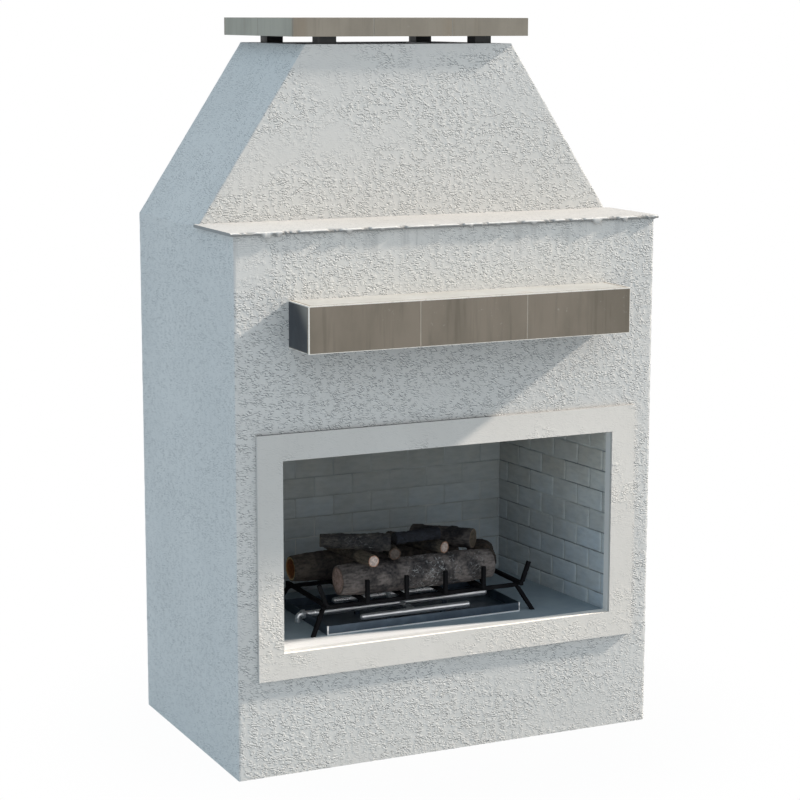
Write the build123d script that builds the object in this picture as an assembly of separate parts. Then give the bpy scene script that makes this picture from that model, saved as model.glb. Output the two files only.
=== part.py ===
from build123d import *
import math
import os

# Outdoor gas fireplace: a steel frame clad in cement board and stucco, with a hood, a tiled
# mantel, a tiled chimney cap, a brick-lined firebox, a burner, a grate and a set of logs.
# Millimetres. X runs to the right, Y to the back and Z up. The origin is the middle of the
# bounding box, on the ground.

# Casing
body_width = 1220.0
body_depth = 722.0
shoulder_height = 1423.0
hood_rise = 457.0
hood_setback = 257.0
hood_top_width = 610.0
stucco = 12.0
board = 12.0
stud = 40.0
stud_wall = 2.0
ledge_thickness = 8.0
ledge_overhang = 10.0
hearth_rail_spacing = 500.0

# Firebox opening and the smooth band round it
pier_width = 125.0
opening_height = 507.0
hearth_height = 330.0
surround_band = 70.0
surround_proud = 10.0
surround_return = 10.0

# Firebox lining and smoke passage
space_behind_firebox = 117.0
firebox_height = 570.0
splay_degrees = 5.3
brick_course = 57.8
brick_length = 118.0
brick_panel = 25.0
groove_width = 4.0
groove_depth = 2.0
hearth_slab = 17.0
back_joint = 18.8
side_joint = 15.0
sheet = 3.0
throat_width = 520.0
throat_depth = 300.0
throat_back_margin = 53.0
smoke_chamber_height = 427.0
flue_width = 300.0
flue_depth = 250.0

# Mantel
mantel_length = 924.0
mantel_height = 121.0
mantel_depth = 128.0
mantel_bottom = 1126.0
mantel_tile = 10.0
mantel_edge = 3.0
mantel_tile_count = 3
bracket_width = 50.0
bracket_height = 77.0
bracket_reach = 100.0
bracket_sheet = 4.0
bracket_spacing = 560.0
bracket_clearance = 0.5
anchor_radius = 5.0
anchor_head = 6.0
anchor_head_radius = 9.0
anchor_pitch = 50.0

# Chimney cap
cap_overhang_front = 18.0
cap_overhang_side = 40.0
cap_thickness = 48.0
cap_gap = 20.0
cap_tile = 10.0
cap_post = 48.0
cap_post_wall = 2.5
cap_post_spacing = 459.0
cap_post_inset = 24.0
cap_face_tile_count = 3
cap_end_tile_count = 2
grout = 3.0

# Burner and gas line
set_shift = -26.0
pan_width = 580.0
pan_depth = 300.0
pan_height = 25.0
pan_sheet = 2.0
pan_setback = 100.0
burner_radius = 9.0
burner_wall = 1.5
burner_height = 20.0
burner_long = 535.0
burner_short = 333.0
burner_pitch = 95.0
burner_setback = 257.0
manifold_radius = 7.0
port_radius = 1.5
port_pitch = 30.0
port_margin = 20.0
saddle_width = 12.0
gas_pipe_radius = 8.0
gas_pipe_wall = 2.0
gas_elbow_radius = 10.0
gas_stub = 20.0
collar_radius = 13.0
collar_length = 9.0
gas_hole_clearance = 2.0
riser_radius = 10.65
riser_wall = 2.8
riser_height = 120.0
riser_inset = 140.0
riser_side = 250.0
valve_radius = 17.0
valve_height = 70.0
valve_nut_radius = 20.0
valve_nut_height = 16.0
valve_boss_radius = 12.0
valve_boss_length = 26.0
stem_radius = 5.0
stem_clearance = 0.05
stem_depth = 16.0
lever_width = 14.0
lever_length = 78.0
lever_thickness = 3.0
lever_hub_radius = 10.0
lever_gap = 0.3
connector_rise = 50.0
connector_bend = 40.0

# Grate
grate_width = 582.0
grate_setback = 125.0
grate_depth = 246.0
grate_height = 80.0
grate_bar = 10.0
grate_bar_count = 6
grate_reach = 28.0
finger_height = 65.0
finger_lean = 24.0
leg_splay = 45.0
leg_kick = 25.0

# Logs
front_log_radius = 46.5
rear_log_radius = 43.0
upper_left_log_radius = 25.0
charcoal_log_radius = 18.0
upper_right_log_radius = 30.0
right_log_radius = 40.0
branch_log_radius = 18.0
log_rest = 0.1

# Access door
door_width = 190.0
door_height = 170.0
door_bottom = 70.0
door_side = 250.0
door_sheet = 2.0
door_flange = 18.0
door_clearance = 3.0
door_rim = 12.0
door_stop = 8.0
door_gap = 0.3
slot_height = 6.0
slot_pitch = 18.0
slot_count = 5
slot_width_share = 0.6
hinge_pin_radius = 2.5
hinge_pin_head = 1.5
hinge_clearance = 0.05
hinge_barrel_radius = 5.0
hinge_knuckle = 14.0
hinge_leaf = 16.0
hinge_inset_share = 0.22
pull_height = 60.0
pull_stand = 15.0
pull_lip = 8.0

# Levels and faces that the driving dimensions give
cut = 5.0
body_half = body_width / 2
opening_half = body_half - pier_width
front_y = mantel_depth - (mantel_depth + body_depth + cap_overhang_front) / 2
back_y = front_y + body_depth
board_y = front_y + stucco
lining_y = board_y + board
hood_y = front_y + hood_setback
shoulder_z = shoulder_height - ledge_thickness
hood_top = shoulder_height + hood_rise
skin = stucco + board
opening_top = hearth_height + opening_height
rail_top = shoulder_z - board
slant = math.hypot(body_half - hood_top_width / 2, hood_top - shoulder_z) / (hood_top - shoulder_z)
splay = math.tan(math.radians(splay_degrees))
panel_x = brick_panel / math.cos(math.radians(splay_degrees))
lining_bottom = hearth_height - hearth_slab
lining_top = lining_bottom + firebox_height + hearth_slab
lining_back = back_y - skin - space_behind_firebox - sheet - brick_panel
shell_bottom = lining_bottom - sheet
shell_top = lining_top + sheet
hood_mid_y = (hood_y + back_y) / 2
door_x = -door_side


def block(x, y, z):
    """Box between the two ends of each span."""
    size = [high - low for low, high in (x, y, z)]
    return Pos(x[0], y[0], z[0]) * Box(*size, align=Align.MIN)


def about(middle, width):
    """Span of a width, centred on a place."""
    return (middle - width / 2, middle + width / 2)


def prism_xz(points, y):
    """Outline in X and Z, pushed along Y from one end of the span to the other."""
    wire = Wire.make_polygon([(px, y[0], pz) for px, pz in points], close=True)
    return Solid.extrude(Face(wire), Vector(0, y[1] - y[0], 0))


def prism_xy(points, z):
    """Outline in X and Y, pushed up from one end of the span to the other."""
    wire = Wire.make_polygon([(px, py, z[0]) for px, py in points], close=True)
    return Solid.extrude(Face(wire), Vector(0, 0, z[1] - z[0]))


def rod(start, end, radius):
    """Round bar between two points."""
    axis = Vector(*end) - Vector(*start)
    place = Plane(origin=start, z_dir=axis)
    return Solid.make_cylinder(radius, axis.length, place)


def square_tube(x, y, z, run, wall=stud_wall):
    """Square tube that fills three spans and is open at both ends of its run."""
    spans = {"x": x, "y": y, "z": z}
    bore = {
        name: span if name == run else (span[0] + wall, span[1] - wall) for name, span in spans.items()
    }
    return block(x, y, z) - block(bore["x"], bore["y"], bore["z"])


def both_sides(shape):
    """A shape and its mirror image across the middle of the fireplace."""
    return [shape, mirror(shape, about=Plane.YZ)]


def solids_of(*shapes):
    """Every solid of the shapes, as one group."""
    return Compound([solid for shape in shapes for solid in shape.solids()])


def hood_half(z, inset=0):
    """Half the hood's width at a height, inset from its slanted face."""
    rise = (z - shoulder_z) / (hood_top - shoulder_z)
    return body_half + (hood_top_width / 2 - body_half) * rise - inset * slant


def hood_slope(z, outer, inner):
    """Outline of a layer of the right-hand slope, between two insets from its face."""
    low, high = z
    return [
        (hood_half(low, outer), low),
        (hood_half(high, outer), high),
        (hood_half(high, inner), high),
        (hood_half(low, inner), low),
    ]


def lining_half(y):
    """Half the width between the brick panels at a depth."""
    return opening_half - (y - lining_y) * splay


# Steel frame


def base_rails():
    inner = body_half - skin
    back = back_y - skin
    cross = (-inner + stud, inner - stud)
    z = (0, stud)
    front = square_tube(cross, (lining_y, lining_y + stud), z, "x")
    rear = square_tube(cross, (back - stud, back), z, "x")
    side = square_tube((inner - stud, inner), (lining_y + stud, back - stud), z, "y")
    return solids_of(front, rear, *both_sides(side))


def corner_studs():
    inner = body_half - skin
    back = back_y - skin
    x = (inner - stud, inner)
    front = square_tube(x, (lining_y, lining_y + stud), (0, rail_top), "z")
    rear = square_tube(x, (back - stud, back), (0, rail_top), "z")
    return solids_of(*both_sides(front), *both_sides(rear))


def hearth_rails():
    cross = body_half - skin - stud
    back = back_y - skin
    z = (shell_bottom - stud, shell_bottom)
    front = square_tube((-cross, cross), (lining_y, lining_y + stud), z, "x")
    rear = square_tube((-cross, cross), (back - stud, back), z, "x")
    joist = square_tube(about(hearth_rail_spacing / 2, stud), (lining_y + stud, back - stud), z, "y")
    return solids_of(front, rear, *both_sides(joist))


def shoulder_rails():
    inner = body_half - skin
    cross = inner - stud
    back = back_y - skin
    z = (rail_top - stud, rail_top)
    front = square_tube((-cross, cross), (lining_y, lining_y + stud), z, "x")
    middle = square_tube((-cross, cross), (hood_y, hood_y + stud), z, "x")
    rear = square_tube((-cross, cross), (back - stud, back), z, "x")
    side = square_tube((cross, inner), (lining_y + stud, back - stud), z, "y")
    return solids_of(front, middle, rear, *both_sides(side))


def lintel_angle():
    cross = body_half - skin - stud
    upright = block((-cross, cross), (lining_y, lining_y + sheet), (shell_top, shell_top + stud))
    shelf = block((-cross, cross), (lining_y, lining_y + stud), (shell_top, shell_top + sheet))
    return upright + shelf


def hood_frame():
    inner = body_half - skin
    ring_top = hood_top - sheet
    ring_z = (ring_top - stud, ring_top)
    ring_x = hood_half(hood_top, skin)
    front = (hood_y + skin, hood_y + skin + stud)
    back = (back_y - skin - stud, back_y - skin)
    outer = hood_slope((rail_top, ring_z[0]), skin, skin + stud)
    bore = hood_slope((rail_top, ring_z[0]), skin + stud_wall, skin + stud - stud_wall)
    limit = block((0, inner), (hood_y, back_y), (rail_top, hood_top))
    rafters = []
    for low, high in (front, back):
        bar = prism_xz(outer, (low, high)) - prism_xz(bore, (low + stud_wall, high - stud_wall))
        rafters += both_sides(bar & limit)
    ring = [
        square_tube((-ring_x, ring_x), front, ring_z, "x"),
        square_tube((-ring_x, ring_x), back, ring_z, "x"),
        *both_sides(square_tube((ring_x - stud, ring_x), (front[1], back[0]), ring_z, "y")),
    ]
    return solids_of(*rafters, *ring)


# Board and stucco


def opening_hole(y):
    """Hole in the front wall that the surround's return lines."""
    half = opening_half + surround_return
    return block((-half, half), y, (hearth_height - surround_return, opening_top + surround_return))


def door_hole(y):
    """Hole in the back wall for the access door's frame."""
    return block(about(door_x, door_width), y, (door_bottom, door_bottom + door_height))


def back_outline(inset):
    """Outline of the back wall, inset from the casing's faces."""
    low = body_half - inset
    base = min(low, hood_half(shoulder_z, inset))
    right = [(low, 0), (low, shoulder_z), (base, shoulder_z), (hood_half(hood_top, inset), hood_top)]
    kept = right if base < low else right[:1] + right[2:]
    return kept + [(-x, z) for x, z in reversed(kept)]


def front_board():
    half = body_half - stucco
    y = (board_y, lining_y)
    return block((-half, half), y, (0, shoulder_z)) - opening_hole((y[0] - cut, y[1] + cut))


def side_boards():
    x = (body_half - skin, body_half - stucco)
    return solids_of(*both_sides(block(x, (lining_y, back_y - skin), (0, shoulder_z))))


def back_board():
    y = (back_y - skin, back_y - stucco)
    return prism_xz(back_outline(stucco), y) - door_hole((y[0] - cut, y[1] + cut))


def shoulder_board():
    half = body_half - skin
    return block((-half, half), (lining_y, hood_y + skin), (rail_top, shoulder_z))


def hood_front_board():
    low, high = hood_half(shoulder_z, stucco), hood_half(hood_top, stucco)
    outline = [(-low, shoulder_z), (low, shoulder_z), (high, hood_top), (-high, hood_top)]
    return prism_xz(outline, (hood_y + stucco, hood_y + skin))


def hood_side_boards():
    outline = hood_slope((shoulder_z, hood_top), stucco, skin)
    return solids_of(*both_sides(prism_xz(outline, (hood_y + skin, back_y - skin))))


def front_stucco():
    y = (front_y, board_y)
    return block((-body_half, body_half), y, (0, shoulder_z)) - opening_hole((y[0] - cut, y[1] + cut))


def right_stucco():
    return block((body_half - stucco, body_half), (board_y, back_y - stucco), (0, shoulder_z))


def left_stucco():
    return mirror(right_stucco(), about=Plane.YZ)


def back_stucco():
    y = (back_y - stucco, back_y)
    return prism_xz(back_outline(0), y) - door_hole((y[0] - cut, y[1] + cut))


def hood_front_stucco():
    low, high = body_half, hood_top_width / 2
    outline = [(-low, shoulder_z), (low, shoulder_z), (high, hood_top), (-high, hood_top)]
    return prism_xz(outline, (hood_y, hood_y + stucco))


def hood_right_stucco():
    outline = hood_slope((shoulder_z, hood_top), 0, stucco)
    return prism_xz(outline, (hood_y + stucco, back_y - stucco))


def hood_left_stucco():
    return mirror(hood_right_stucco(), about=Plane.YZ)


def shoulder_ledge():
    half = body_half + ledge_overhang
    return block((-half, half), (front_y - ledge_overhang, hood_y), (shoulder_z, shoulder_height))


def firebox_surround():
    half = opening_half + surround_band
    face = block(
        (-half, half),
        (front_y - surround_proud, front_y),
        (hearth_height - surround_band, opening_top + surround_band),
    )
    sleeve = opening_hole((front_y, lining_y))
    clear = block(
        (-opening_half, opening_half),
        (front_y - surround_proud - cut, lining_y + cut),
        (hearth_height, opening_top),
    )
    return face + sleeve - clear


# Mantel


def mantel_spans():
    """The mantel's length, depth and height as spans."""
    return (
        about(0, mantel_length),
        (front_y - mantel_depth, front_y),
        (mantel_bottom, mantel_bottom + mantel_height),
    )


def bracket_pocket():
    """Room for the right-hand bracket in the back of the mantel's core."""
    x = about(bracket_spacing / 2, bracket_width + 2 * bracket_clearance)
    middle = mantel_bottom + mantel_height / 2
    near = front_y - bracket_reach - bracket_clearance
    return block(x, (near, front_y + cut), about(middle, bracket_height))


def mantel_core():
    x, y, z = mantel_spans()
    core = block(
        (x[0] + mantel_tile, x[1] - mantel_tile),
        (y[0] + mantel_tile, y[1]),
        (z[0] + mantel_tile, z[1] - mantel_tile),
    )
    return core - both_sides(bracket_pocket())


def mantel_front_tiles():
    x, y, z = mantel_spans()
    face_x = (x[0] + mantel_edge, x[1] - mantel_edge)
    face_z = (z[0] + mantel_edge, z[1] - mantel_edge)
    pitch = (face_x[1] - face_x[0] + grout) / mantel_tile_count
    tiles = []
    for index in range(mantel_tile_count):
        start = face_x[0] + index * pitch
        tiles.append(block((start, start + pitch - grout), (y[0], y[0] + mantel_tile), face_z))
    return solids_of(*tiles)


def mantel_end_tiles():
    x, y, z = mantel_spans()
    face_z = (z[0] + mantel_edge, z[1] - mantel_edge)
    return solids_of(*both_sides(block((x[1] - mantel_tile, x[1]), (y[0] + mantel_tile, y[1]), face_z)))


def mantel_slab(z):
    """Tile that covers the mantel's core above or below, between the face tiles."""
    x, y, _ = mantel_spans()
    return block((x[0] + mantel_tile, x[1] - mantel_tile), (y[0] + mantel_tile, y[1]), z)


def mantel_top_tile():
    top = mantel_bottom + mantel_height
    return mantel_slab((top - mantel_tile, top))


def mantel_bottom_tile():
    return mantel_slab((mantel_bottom, mantel_bottom + mantel_tile))


def mantel_edge_trim():
    x, y, z = mantel_spans()
    deep = (y[0], y[0] + mantel_tile)
    inner_z = (z[0] + mantel_edge, z[1] - mantel_edge)
    top = block(x, deep, (inner_z[1], z[1]))
    bottom = block(x, deep, (z[0], inner_z[0]))
    corner = block((x[1] - mantel_edge, x[1]), deep, inner_z)
    end_y = (deep[1], y[1])
    end_top = block((x[1] - mantel_tile, x[1]), end_y, (inner_z[1], z[1]))
    end_bottom = block((x[1] - mantel_tile, x[1]), end_y, (z[0], inner_z[0]))
    return solids_of(top, bottom, *both_sides(corner), *both_sides(end_top), *both_sides(end_bottom))


def bracket_anchor_heights():
    """Heights of the two anchors that hold one mantel bracket to the wall."""
    middle = mantel_bottom + mantel_height / 2
    return about(middle, anchor_pitch)


def mantel_brackets():
    low, top = about(mantel_bottom + mantel_height / 2, bracket_height)
    x = about(bracket_spacing / 2, bracket_width)
    wall_leg = block(x, (front_y - bracket_sheet, front_y), (low, top))
    arm = block(x, (front_y - bracket_reach, front_y), (top - bracket_sheet, top))
    bracket = wall_leg + arm
    for z in bracket_anchor_heights():
        bracket -= rod(
            (bracket_spacing / 2, front_y - bracket_sheet - cut, z),
            (bracket_spacing / 2, front_y + cut, z),
            anchor_radius + bracket_clearance,
        )
    return solids_of(*both_sides(bracket))


def mantel_anchors():
    anchors = []
    face = front_y - bracket_sheet
    for z in bracket_anchor_heights():
        x = bracket_spacing / 2
        shank = rod((x, face, z), (x, front_y, z), anchor_radius)
        head = rod((x, face - anchor_head, z), (x, face, z), anchor_head_radius)
        anchors += both_sides(head + shank)
    return solids_of(*anchors)


# Chimney cap


def cap_spans():
    """The cap's length, depth and height as spans."""
    half = hood_top_width / 2 + cap_overhang_side
    bottom = hood_top + cap_gap
    return (
        (-half, half),
        (hood_y - cap_overhang_front, back_y + cap_overhang_front),
        (bottom, bottom + cap_thickness),
    )


def cap_core():
    x, y, z = cap_spans()
    return block(
        (x[0] + cap_tile, x[1] - cap_tile),
        (y[0] + cap_tile, y[1] - cap_tile),
        (z[0], z[1] - cap_tile),
    )


def cap_face_tiles():
    x, y, z = cap_spans()
    pitch = (x[1] - x[0] + grout) / cap_face_tile_count
    tiles = []
    for index in range(cap_face_tile_count):
        start = x[0] + index * pitch
        span = (start, start + pitch - grout)
        tiles.append(block(span, (y[0], y[0] + cap_tile), z))
        tiles.append(block(span, (y[1] - cap_tile, y[1]), z))
    return solids_of(*tiles)


def cap_end_tiles():
    x, y, z = cap_spans()
    ends = (y[0] + cap_tile, y[1] - cap_tile)
    pitch = (ends[1] - ends[0] + grout) / cap_end_tile_count
    tiles = []
    for index in range(cap_end_tile_count):
        start = ends[0] + index * pitch
        tiles += both_sides(block((x[1] - cap_tile, x[1]), (start, start + pitch - grout), z))
    return solids_of(*tiles)


def cap_top_tiles():
    x, y, z = cap_spans()
    face_x = (x[0] + cap_tile, x[1] - cap_tile)
    face_y = (y[0] + cap_tile, y[1] - cap_tile)
    pitch_x = (face_x[1] - face_x[0] + grout) / cap_face_tile_count
    pitch_y = (face_y[1] - face_y[0] + grout) / cap_end_tile_count
    tiles = []
    for column in range(cap_face_tile_count):
        left = face_x[0] + column * pitch_x
        for row in range(cap_end_tile_count):
            near = face_y[0] + row * pitch_y
            span = (near, near + pitch_y - grout)
            tiles.append(block((left, left + pitch_x - grout), span, (z[1] - cap_tile, z[1])))
    return solids_of(*tiles)


def cap_posts():
    x = about(cap_post_spacing / 2, cap_post)
    z = (hood_top, hood_top + cap_gap)
    front = (hood_y + cap_post_inset, hood_y + cap_post_inset + cap_post)
    back = (back_y - cap_post_inset - cap_post, back_y - cap_post_inset)
    posts = []
    for y in (front, back):
        posts += both_sides(square_tube(x, y, z, "z", cap_post_wall))
    return solids_of(*posts)


# Smoke passage


def flue_spans(grow):
    """The flue's width and depth, grown by a wall."""
    return about(0, flue_width + 2 * grow), about(hood_mid_y, flue_depth + 2 * grow)


def throat_spans(grow):
    """The throat's width and depth in the firebox's top, grown by a wall."""
    far = lining_back - throat_back_margin
    return about(0, throat_width + 2 * grow), (far - throat_depth - grow, far + grow)


def hood_top_plate():
    half = hood_half(hood_top, skin)
    z = (hood_top - sheet, hood_top)
    flue_x, flue_y = flue_spans(sheet)
    plate = block((-half, half), (hood_y + skin, back_y - skin), z)
    return plate - block(flue_x, flue_y, (z[0] - cut, z[1] + cut))


def flue_liner():
    z = (shell_top + smoke_chamber_height, hood_top)
    outer_x, outer_y = flue_spans(sheet)
    inner_x, inner_y = flue_spans(0)
    return block(outer_x, outer_y, z) - block(inner_x, inner_y, (z[0] - cut, z[1] + cut))


def frustum(low, high, z):
    """Solid between a rectangle at the bottom height and another at the top height."""
    rings = []
    for (x, y), height in ((low, z[0]), (high, z[1])):
        corners = [(x[0], y[0]), (x[1], y[0]), (x[1], y[1]), (x[0], y[1])]
        rings.append(Wire.make_polygon([(px, py, height) for px, py in corners], close=True))
    return Solid.make_loft(rings, ruled=True)


def smoke_chamber():
    z = (shell_top, shell_top + smoke_chamber_height)
    outer = frustum(throat_spans(sheet), flue_spans(sheet), z)
    return outer - frustum(throat_spans(0), flue_spans(0), z)


# Firebox


def lining_outline(grow, back):
    """Plan of the firebox, grown sideways from the brick faces, back to a depth."""
    near, far = opening_half + grow, lining_half(lining_back) + grow
    right = [(near, lining_y), (far, lining_back)]
    if back > lining_back:
        right.append((far, back))
    return right + [(-x, y) for x, y in reversed(right)]


def firebox_shell():
    back = lining_back + brick_panel
    outer = prism_xy(lining_outline(panel_x + sheet, back + sheet), (shell_bottom, shell_top))
    hollow = prism_xy(lining_outline(panel_x, back), (lining_bottom, lining_top))
    throat_x, throat_y = throat_spans(0)
    throat = block(throat_x, throat_y, (lining_top - cut, shell_top + cut))
    return outer - hollow - throat - gas_hole((shell_bottom - cut, lining_bottom + cut))


def gas_hole(z):
    """Hole that the gas line rises through, beside the pan."""
    x, y = inlet_place()
    return rod((x, y, z[0]), (x, y, z[1]), gas_pipe_radius + gas_hole_clearance)


def hearth_panel():
    slab = prism_xy(lining_outline(0, lining_back), (lining_bottom, hearth_height))
    return slab - gas_hole((lining_bottom - cut, hearth_height + cut))


def course_heights():
    """Heights of the mortar joints between courses of the brick panels."""
    count = int((lining_top - lining_bottom) / brick_course)
    return [lining_bottom + brick_course * (index + 1) for index in range(count)]


def course_spans():
    """Bottom and top of each course, with its number."""
    levels = [lining_bottom, *course_heights(), lining_top]
    return [(index, low, high) for index, (low, high) in enumerate(zip(levels, levels[1:]))]


def joints_between(low, high, first):
    """Places of the upright joints of one course, a brick length apart."""
    start = first + math.ceil((low - first) / brick_length) * brick_length
    places = []
    while start < high:
        places.append(start)
        start += brick_length
    return places


def back_brick_panel():
    half = lining_half(lining_back) + panel_x
    face = (lining_back - cut, lining_back + groove_depth)
    panel = block((-half, half), (lining_back, lining_back + brick_panel), (lining_bottom, lining_top))
    grooves = [block((-half, half), face, about(z, groove_width)) for z in course_heights()]
    for index, low, high in course_spans():
        first = back_joint if index % 2 == 0 else back_joint + brick_length / 2
        for x in joints_between(-half, half, first):
            if abs(x) < half - groove_width:
                grooves.append(block(about(x, groove_width), face, (low, high)))
    return panel - grooves


def side_layer(y, outward, z):
    """Part of the right-hand splayed wall, between two depths and two offsets from its face."""
    corners = [(lining_half(depth) + out, depth) for depth, out in zip((y[0], y[1], y[1], y[0]), outward)]
    return prism_xy(corners, z)


def right_brick_panel():
    y = (lining_y, lining_back)
    panel = side_layer(y, (0, 0, panel_x, panel_x), (lining_bottom, lining_top))
    skin_cut = (-cut, -cut, groove_depth, groove_depth)
    grooves = [side_layer(y, skin_cut, about(z, groove_width)) for z in course_heights()]
    for index, low, high in course_spans():
        first = side_joint if index % 2 else side_joint + brick_length / 2
        for place in joints_between(0, lining_back - lining_y, first):
            span = about(lining_y + place, groove_width)
            if span[0] > lining_y and span[1] < lining_back:
                grooves.append(side_layer(span, skin_cut, (low, high)))
    return panel - grooves


def left_brick_panel():
    return mirror(right_brick_panel(), about=Plane.YZ)


# Burner and gas line


def pan_spans():
    """The pan's width, depth and height as spans."""
    near = front_y + pan_setback
    return (
        about(set_shift, pan_width),
        (near, near + pan_depth),
        (hearth_height, hearth_height + pan_height),
    )


def burner_z():
    return hearth_height + burner_height


def burner_tube_places():
    """Depth and length of each burner tube, from the front one to the rear one."""
    middle = front_y + burner_setback
    return [
        (middle - burner_pitch, burner_short),
        (middle, burner_long),
        (middle + burner_pitch, burner_short),
    ]


def inlet_place():
    """X and Y of the upright gas line beside the pan."""
    return set_shift - pan_width / 2 - gas_stub, front_y + burner_setback


def burner_saddle(middle, depth):
    """Cradle on the pan's floor under one burner tube."""
    z = (hearth_height + pan_sheet, burner_z())
    saddle = block(about(middle, saddle_width), about(depth, burner_radius), z)
    reach = saddle_width / 2 + cut
    seat = rod((middle - reach, depth, burner_z()), (middle + reach, depth, burner_z()), burner_radius)
    return saddle - seat


def burner_pan():
    x, y, z = pan_spans()
    hollow = block(
        (x[0] + pan_sheet, x[1] - pan_sheet),
        (y[0] + pan_sheet, y[1] - pan_sheet),
        (z[0] + pan_sheet, z[1] + cut),
    )
    pan = block(x, y, z) - hollow
    inlet_y = front_y + burner_setback
    pan -= rod((x[0] - cut, inlet_y, burner_z()), (x[0] + cut, inlet_y, burner_z()), gas_pipe_radius)
    for depth, length in burner_tube_places():
        for middle in about(set_shift, length / 2):
            pan += burner_saddle(middle, depth)
    return pan


def capped_tube(start, end, radius):
    """Round bar with domed ends."""
    return rod(start, end, radius) + Pos(*start) * Sphere(radius) + Pos(*end) * Sphere(radius)


def burner_tubes():
    z = burner_z()
    tubes = burner_tube_places()
    shells, bores, ports = [], [], []
    for depth, length in tubes:
        left, right = about(set_shift, length - 2 * burner_radius)
        shells.append(capped_tube((left, depth, z), (right, depth, z), burner_radius))
        bores.append(capped_tube((left, depth, z), (right, depth, z), burner_radius - burner_wall))
        place = left + port_margin
        while place < right:
            ports.append(rod((place, depth, z), (place, depth, z + burner_radius + cut), port_radius))
            place += port_pitch
    ends = [(set_shift, tubes[0][0], z), (set_shift, tubes[-1][0], z)]
    shells.append(rod(*ends, manifold_radius))
    bores.append(rod(*ends, manifold_radius - burner_wall))
    pan_left = set_shift - pan_width / 2
    inner = set_shift - burner_long / 2 + burner_radius
    inlet_y = front_y + burner_setback
    shells.append(rod((pan_left, inlet_y, z), (inner, inlet_y, z), gas_pipe_radius))
    bores.append(rod((pan_left - cut, inlet_y, z), (inner, inlet_y, z), gas_pipe_radius - gas_pipe_wall))
    return shells[0].fuse(*shells[1:]).cut(*bores, *ports)


def gas_inlet():
    x, y = inlet_place()
    z = burner_z()
    pan_left = set_shift - pan_width / 2
    path = FilletPolyline((x, y, lining_bottom), (x, y, z), (pan_left, y, z), radius=gas_elbow_radius)
    start = Plane(origin=(x, y, lining_bottom))
    outer = sweep(start * Circle(gas_pipe_radius), path=path)
    inner = sweep(start * Circle(gas_pipe_radius - gas_pipe_wall), path=path)
    collar_left = pan_left - collar_length
    collar_face = Plane(origin=(collar_left, y, z), z_dir=(1, 0, 0)) * RegularPolygon(collar_radius, 6)
    collar = extrude(collar_face, amount=collar_length)
    collar -= rod((collar_left - cut, y, z), (pan_left + cut, y, z), gas_pipe_radius)
    return solids_of(outer - inner, collar)


def riser_place():
    """X and Y of the gas riser from the ground."""
    return -riser_side, back_y - skin - riser_inset


def gas_riser():
    x, y = riser_place()
    outer = rod((x, y, 0), (x, y, riser_height), riser_radius)
    return outer - rod((x, y, -cut), (x, y, riser_height + cut), riser_radius - riser_wall)


def valve_levels():
    """Bottom, stem axis and top of the shut-off valve."""
    bottom = riser_height
    top = bottom + valve_height
    return bottom, (bottom + top) / 2, top


def shutoff_valve():
    x, y = riser_place()
    bottom, middle, top = valve_levels()
    body = rod((x, y, bottom), (x, y, top), valve_radius)
    for z in (bottom, top - valve_nut_height):
        body += extrude(Pos(x, y, z) * RegularPolygon(valve_nut_radius, 6), amount=valve_nut_height)
    boss_end = y + valve_boss_length
    body += rod((x, y, middle), (x, boss_end, middle), valve_boss_radius)
    bore = rod((x, boss_end - stem_depth, middle), (x, boss_end + cut, middle), stem_radius + stem_clearance)
    return body - bore


def shutoff_lever():
    x, y = riser_place()
    middle = valve_levels()[1]
    boss_end = y + valve_boss_length
    span = (boss_end + lever_gap, boss_end + lever_gap + lever_thickness)
    tip_x = x + lever_length
    stem = rod((x, boss_end - stem_depth + lever_gap, middle), (x, span[1], middle), stem_radius)
    hub = rod((x, span[0], middle), (x, span[1], middle), lever_hub_radius)
    arm = block((x, tip_x), span, about(middle, lever_width))
    tip = rod((tip_x, span[0], middle), (tip_x, span[1], middle), lever_width / 2)
    return stem + hub + arm + tip


def gas_connector():
    x, y = riser_place()
    top = valve_levels()[2]
    end_x, end_y = inlet_place()
    run = top + connector_rise
    path = FilletPolyline(
        (x, y, top),
        (x, y, run),
        (end_x, end_y, run),
        (end_x, end_y, lining_bottom),
        radius=connector_bend,
    )
    start = Plane(origin=(x, y, top))
    outer = sweep(start * Circle(gas_pipe_radius), path=path)
    return outer - sweep(start * Circle(gas_pipe_radius - gas_pipe_wall), path=path)


# Grate


def grate_xs():
    """Places of the grate's bars across the firebox."""
    left = set_shift - grate_width / 2
    pitch = grate_width / (grate_bar_count - 1)
    return [left + pitch * index for index in range(grate_bar_count)]


def bar_between(start, end):
    """Square bar of the grate's section between two points."""
    axis = Vector(*end) - Vector(*start)
    face = Plane(origin=start, z_dir=axis) * Rectangle(grate_bar, grate_bar)
    return extrude(face, amount=axis.length, dir=axis.normalized())


def grate_levels():
    """Levels of the grate's bars and rails: rail bottom, bar bottom and bar top."""
    top = hearth_height + grate_height + grate_bar / 2
    return top - 2 * grate_bar, top - grate_bar, top


def grate_spans():
    """Depths of the grate's front and rear rails."""
    near = front_y + grate_setback
    return near, near + grate_depth


def grate_finger(x, lean, y):
    """Upright at the front end of one bar, leaning sideways by a length."""
    top = grate_levels()[2]
    start = (x, y, top - grate_bar)
    finger = bar_between(start, (x + lean, y, top - grate_bar + finger_height))
    return finger - block(about(x, 4 * grate_bar), about(y, 4 * grate_bar), (top - 3 * grate_bar, top))


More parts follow.
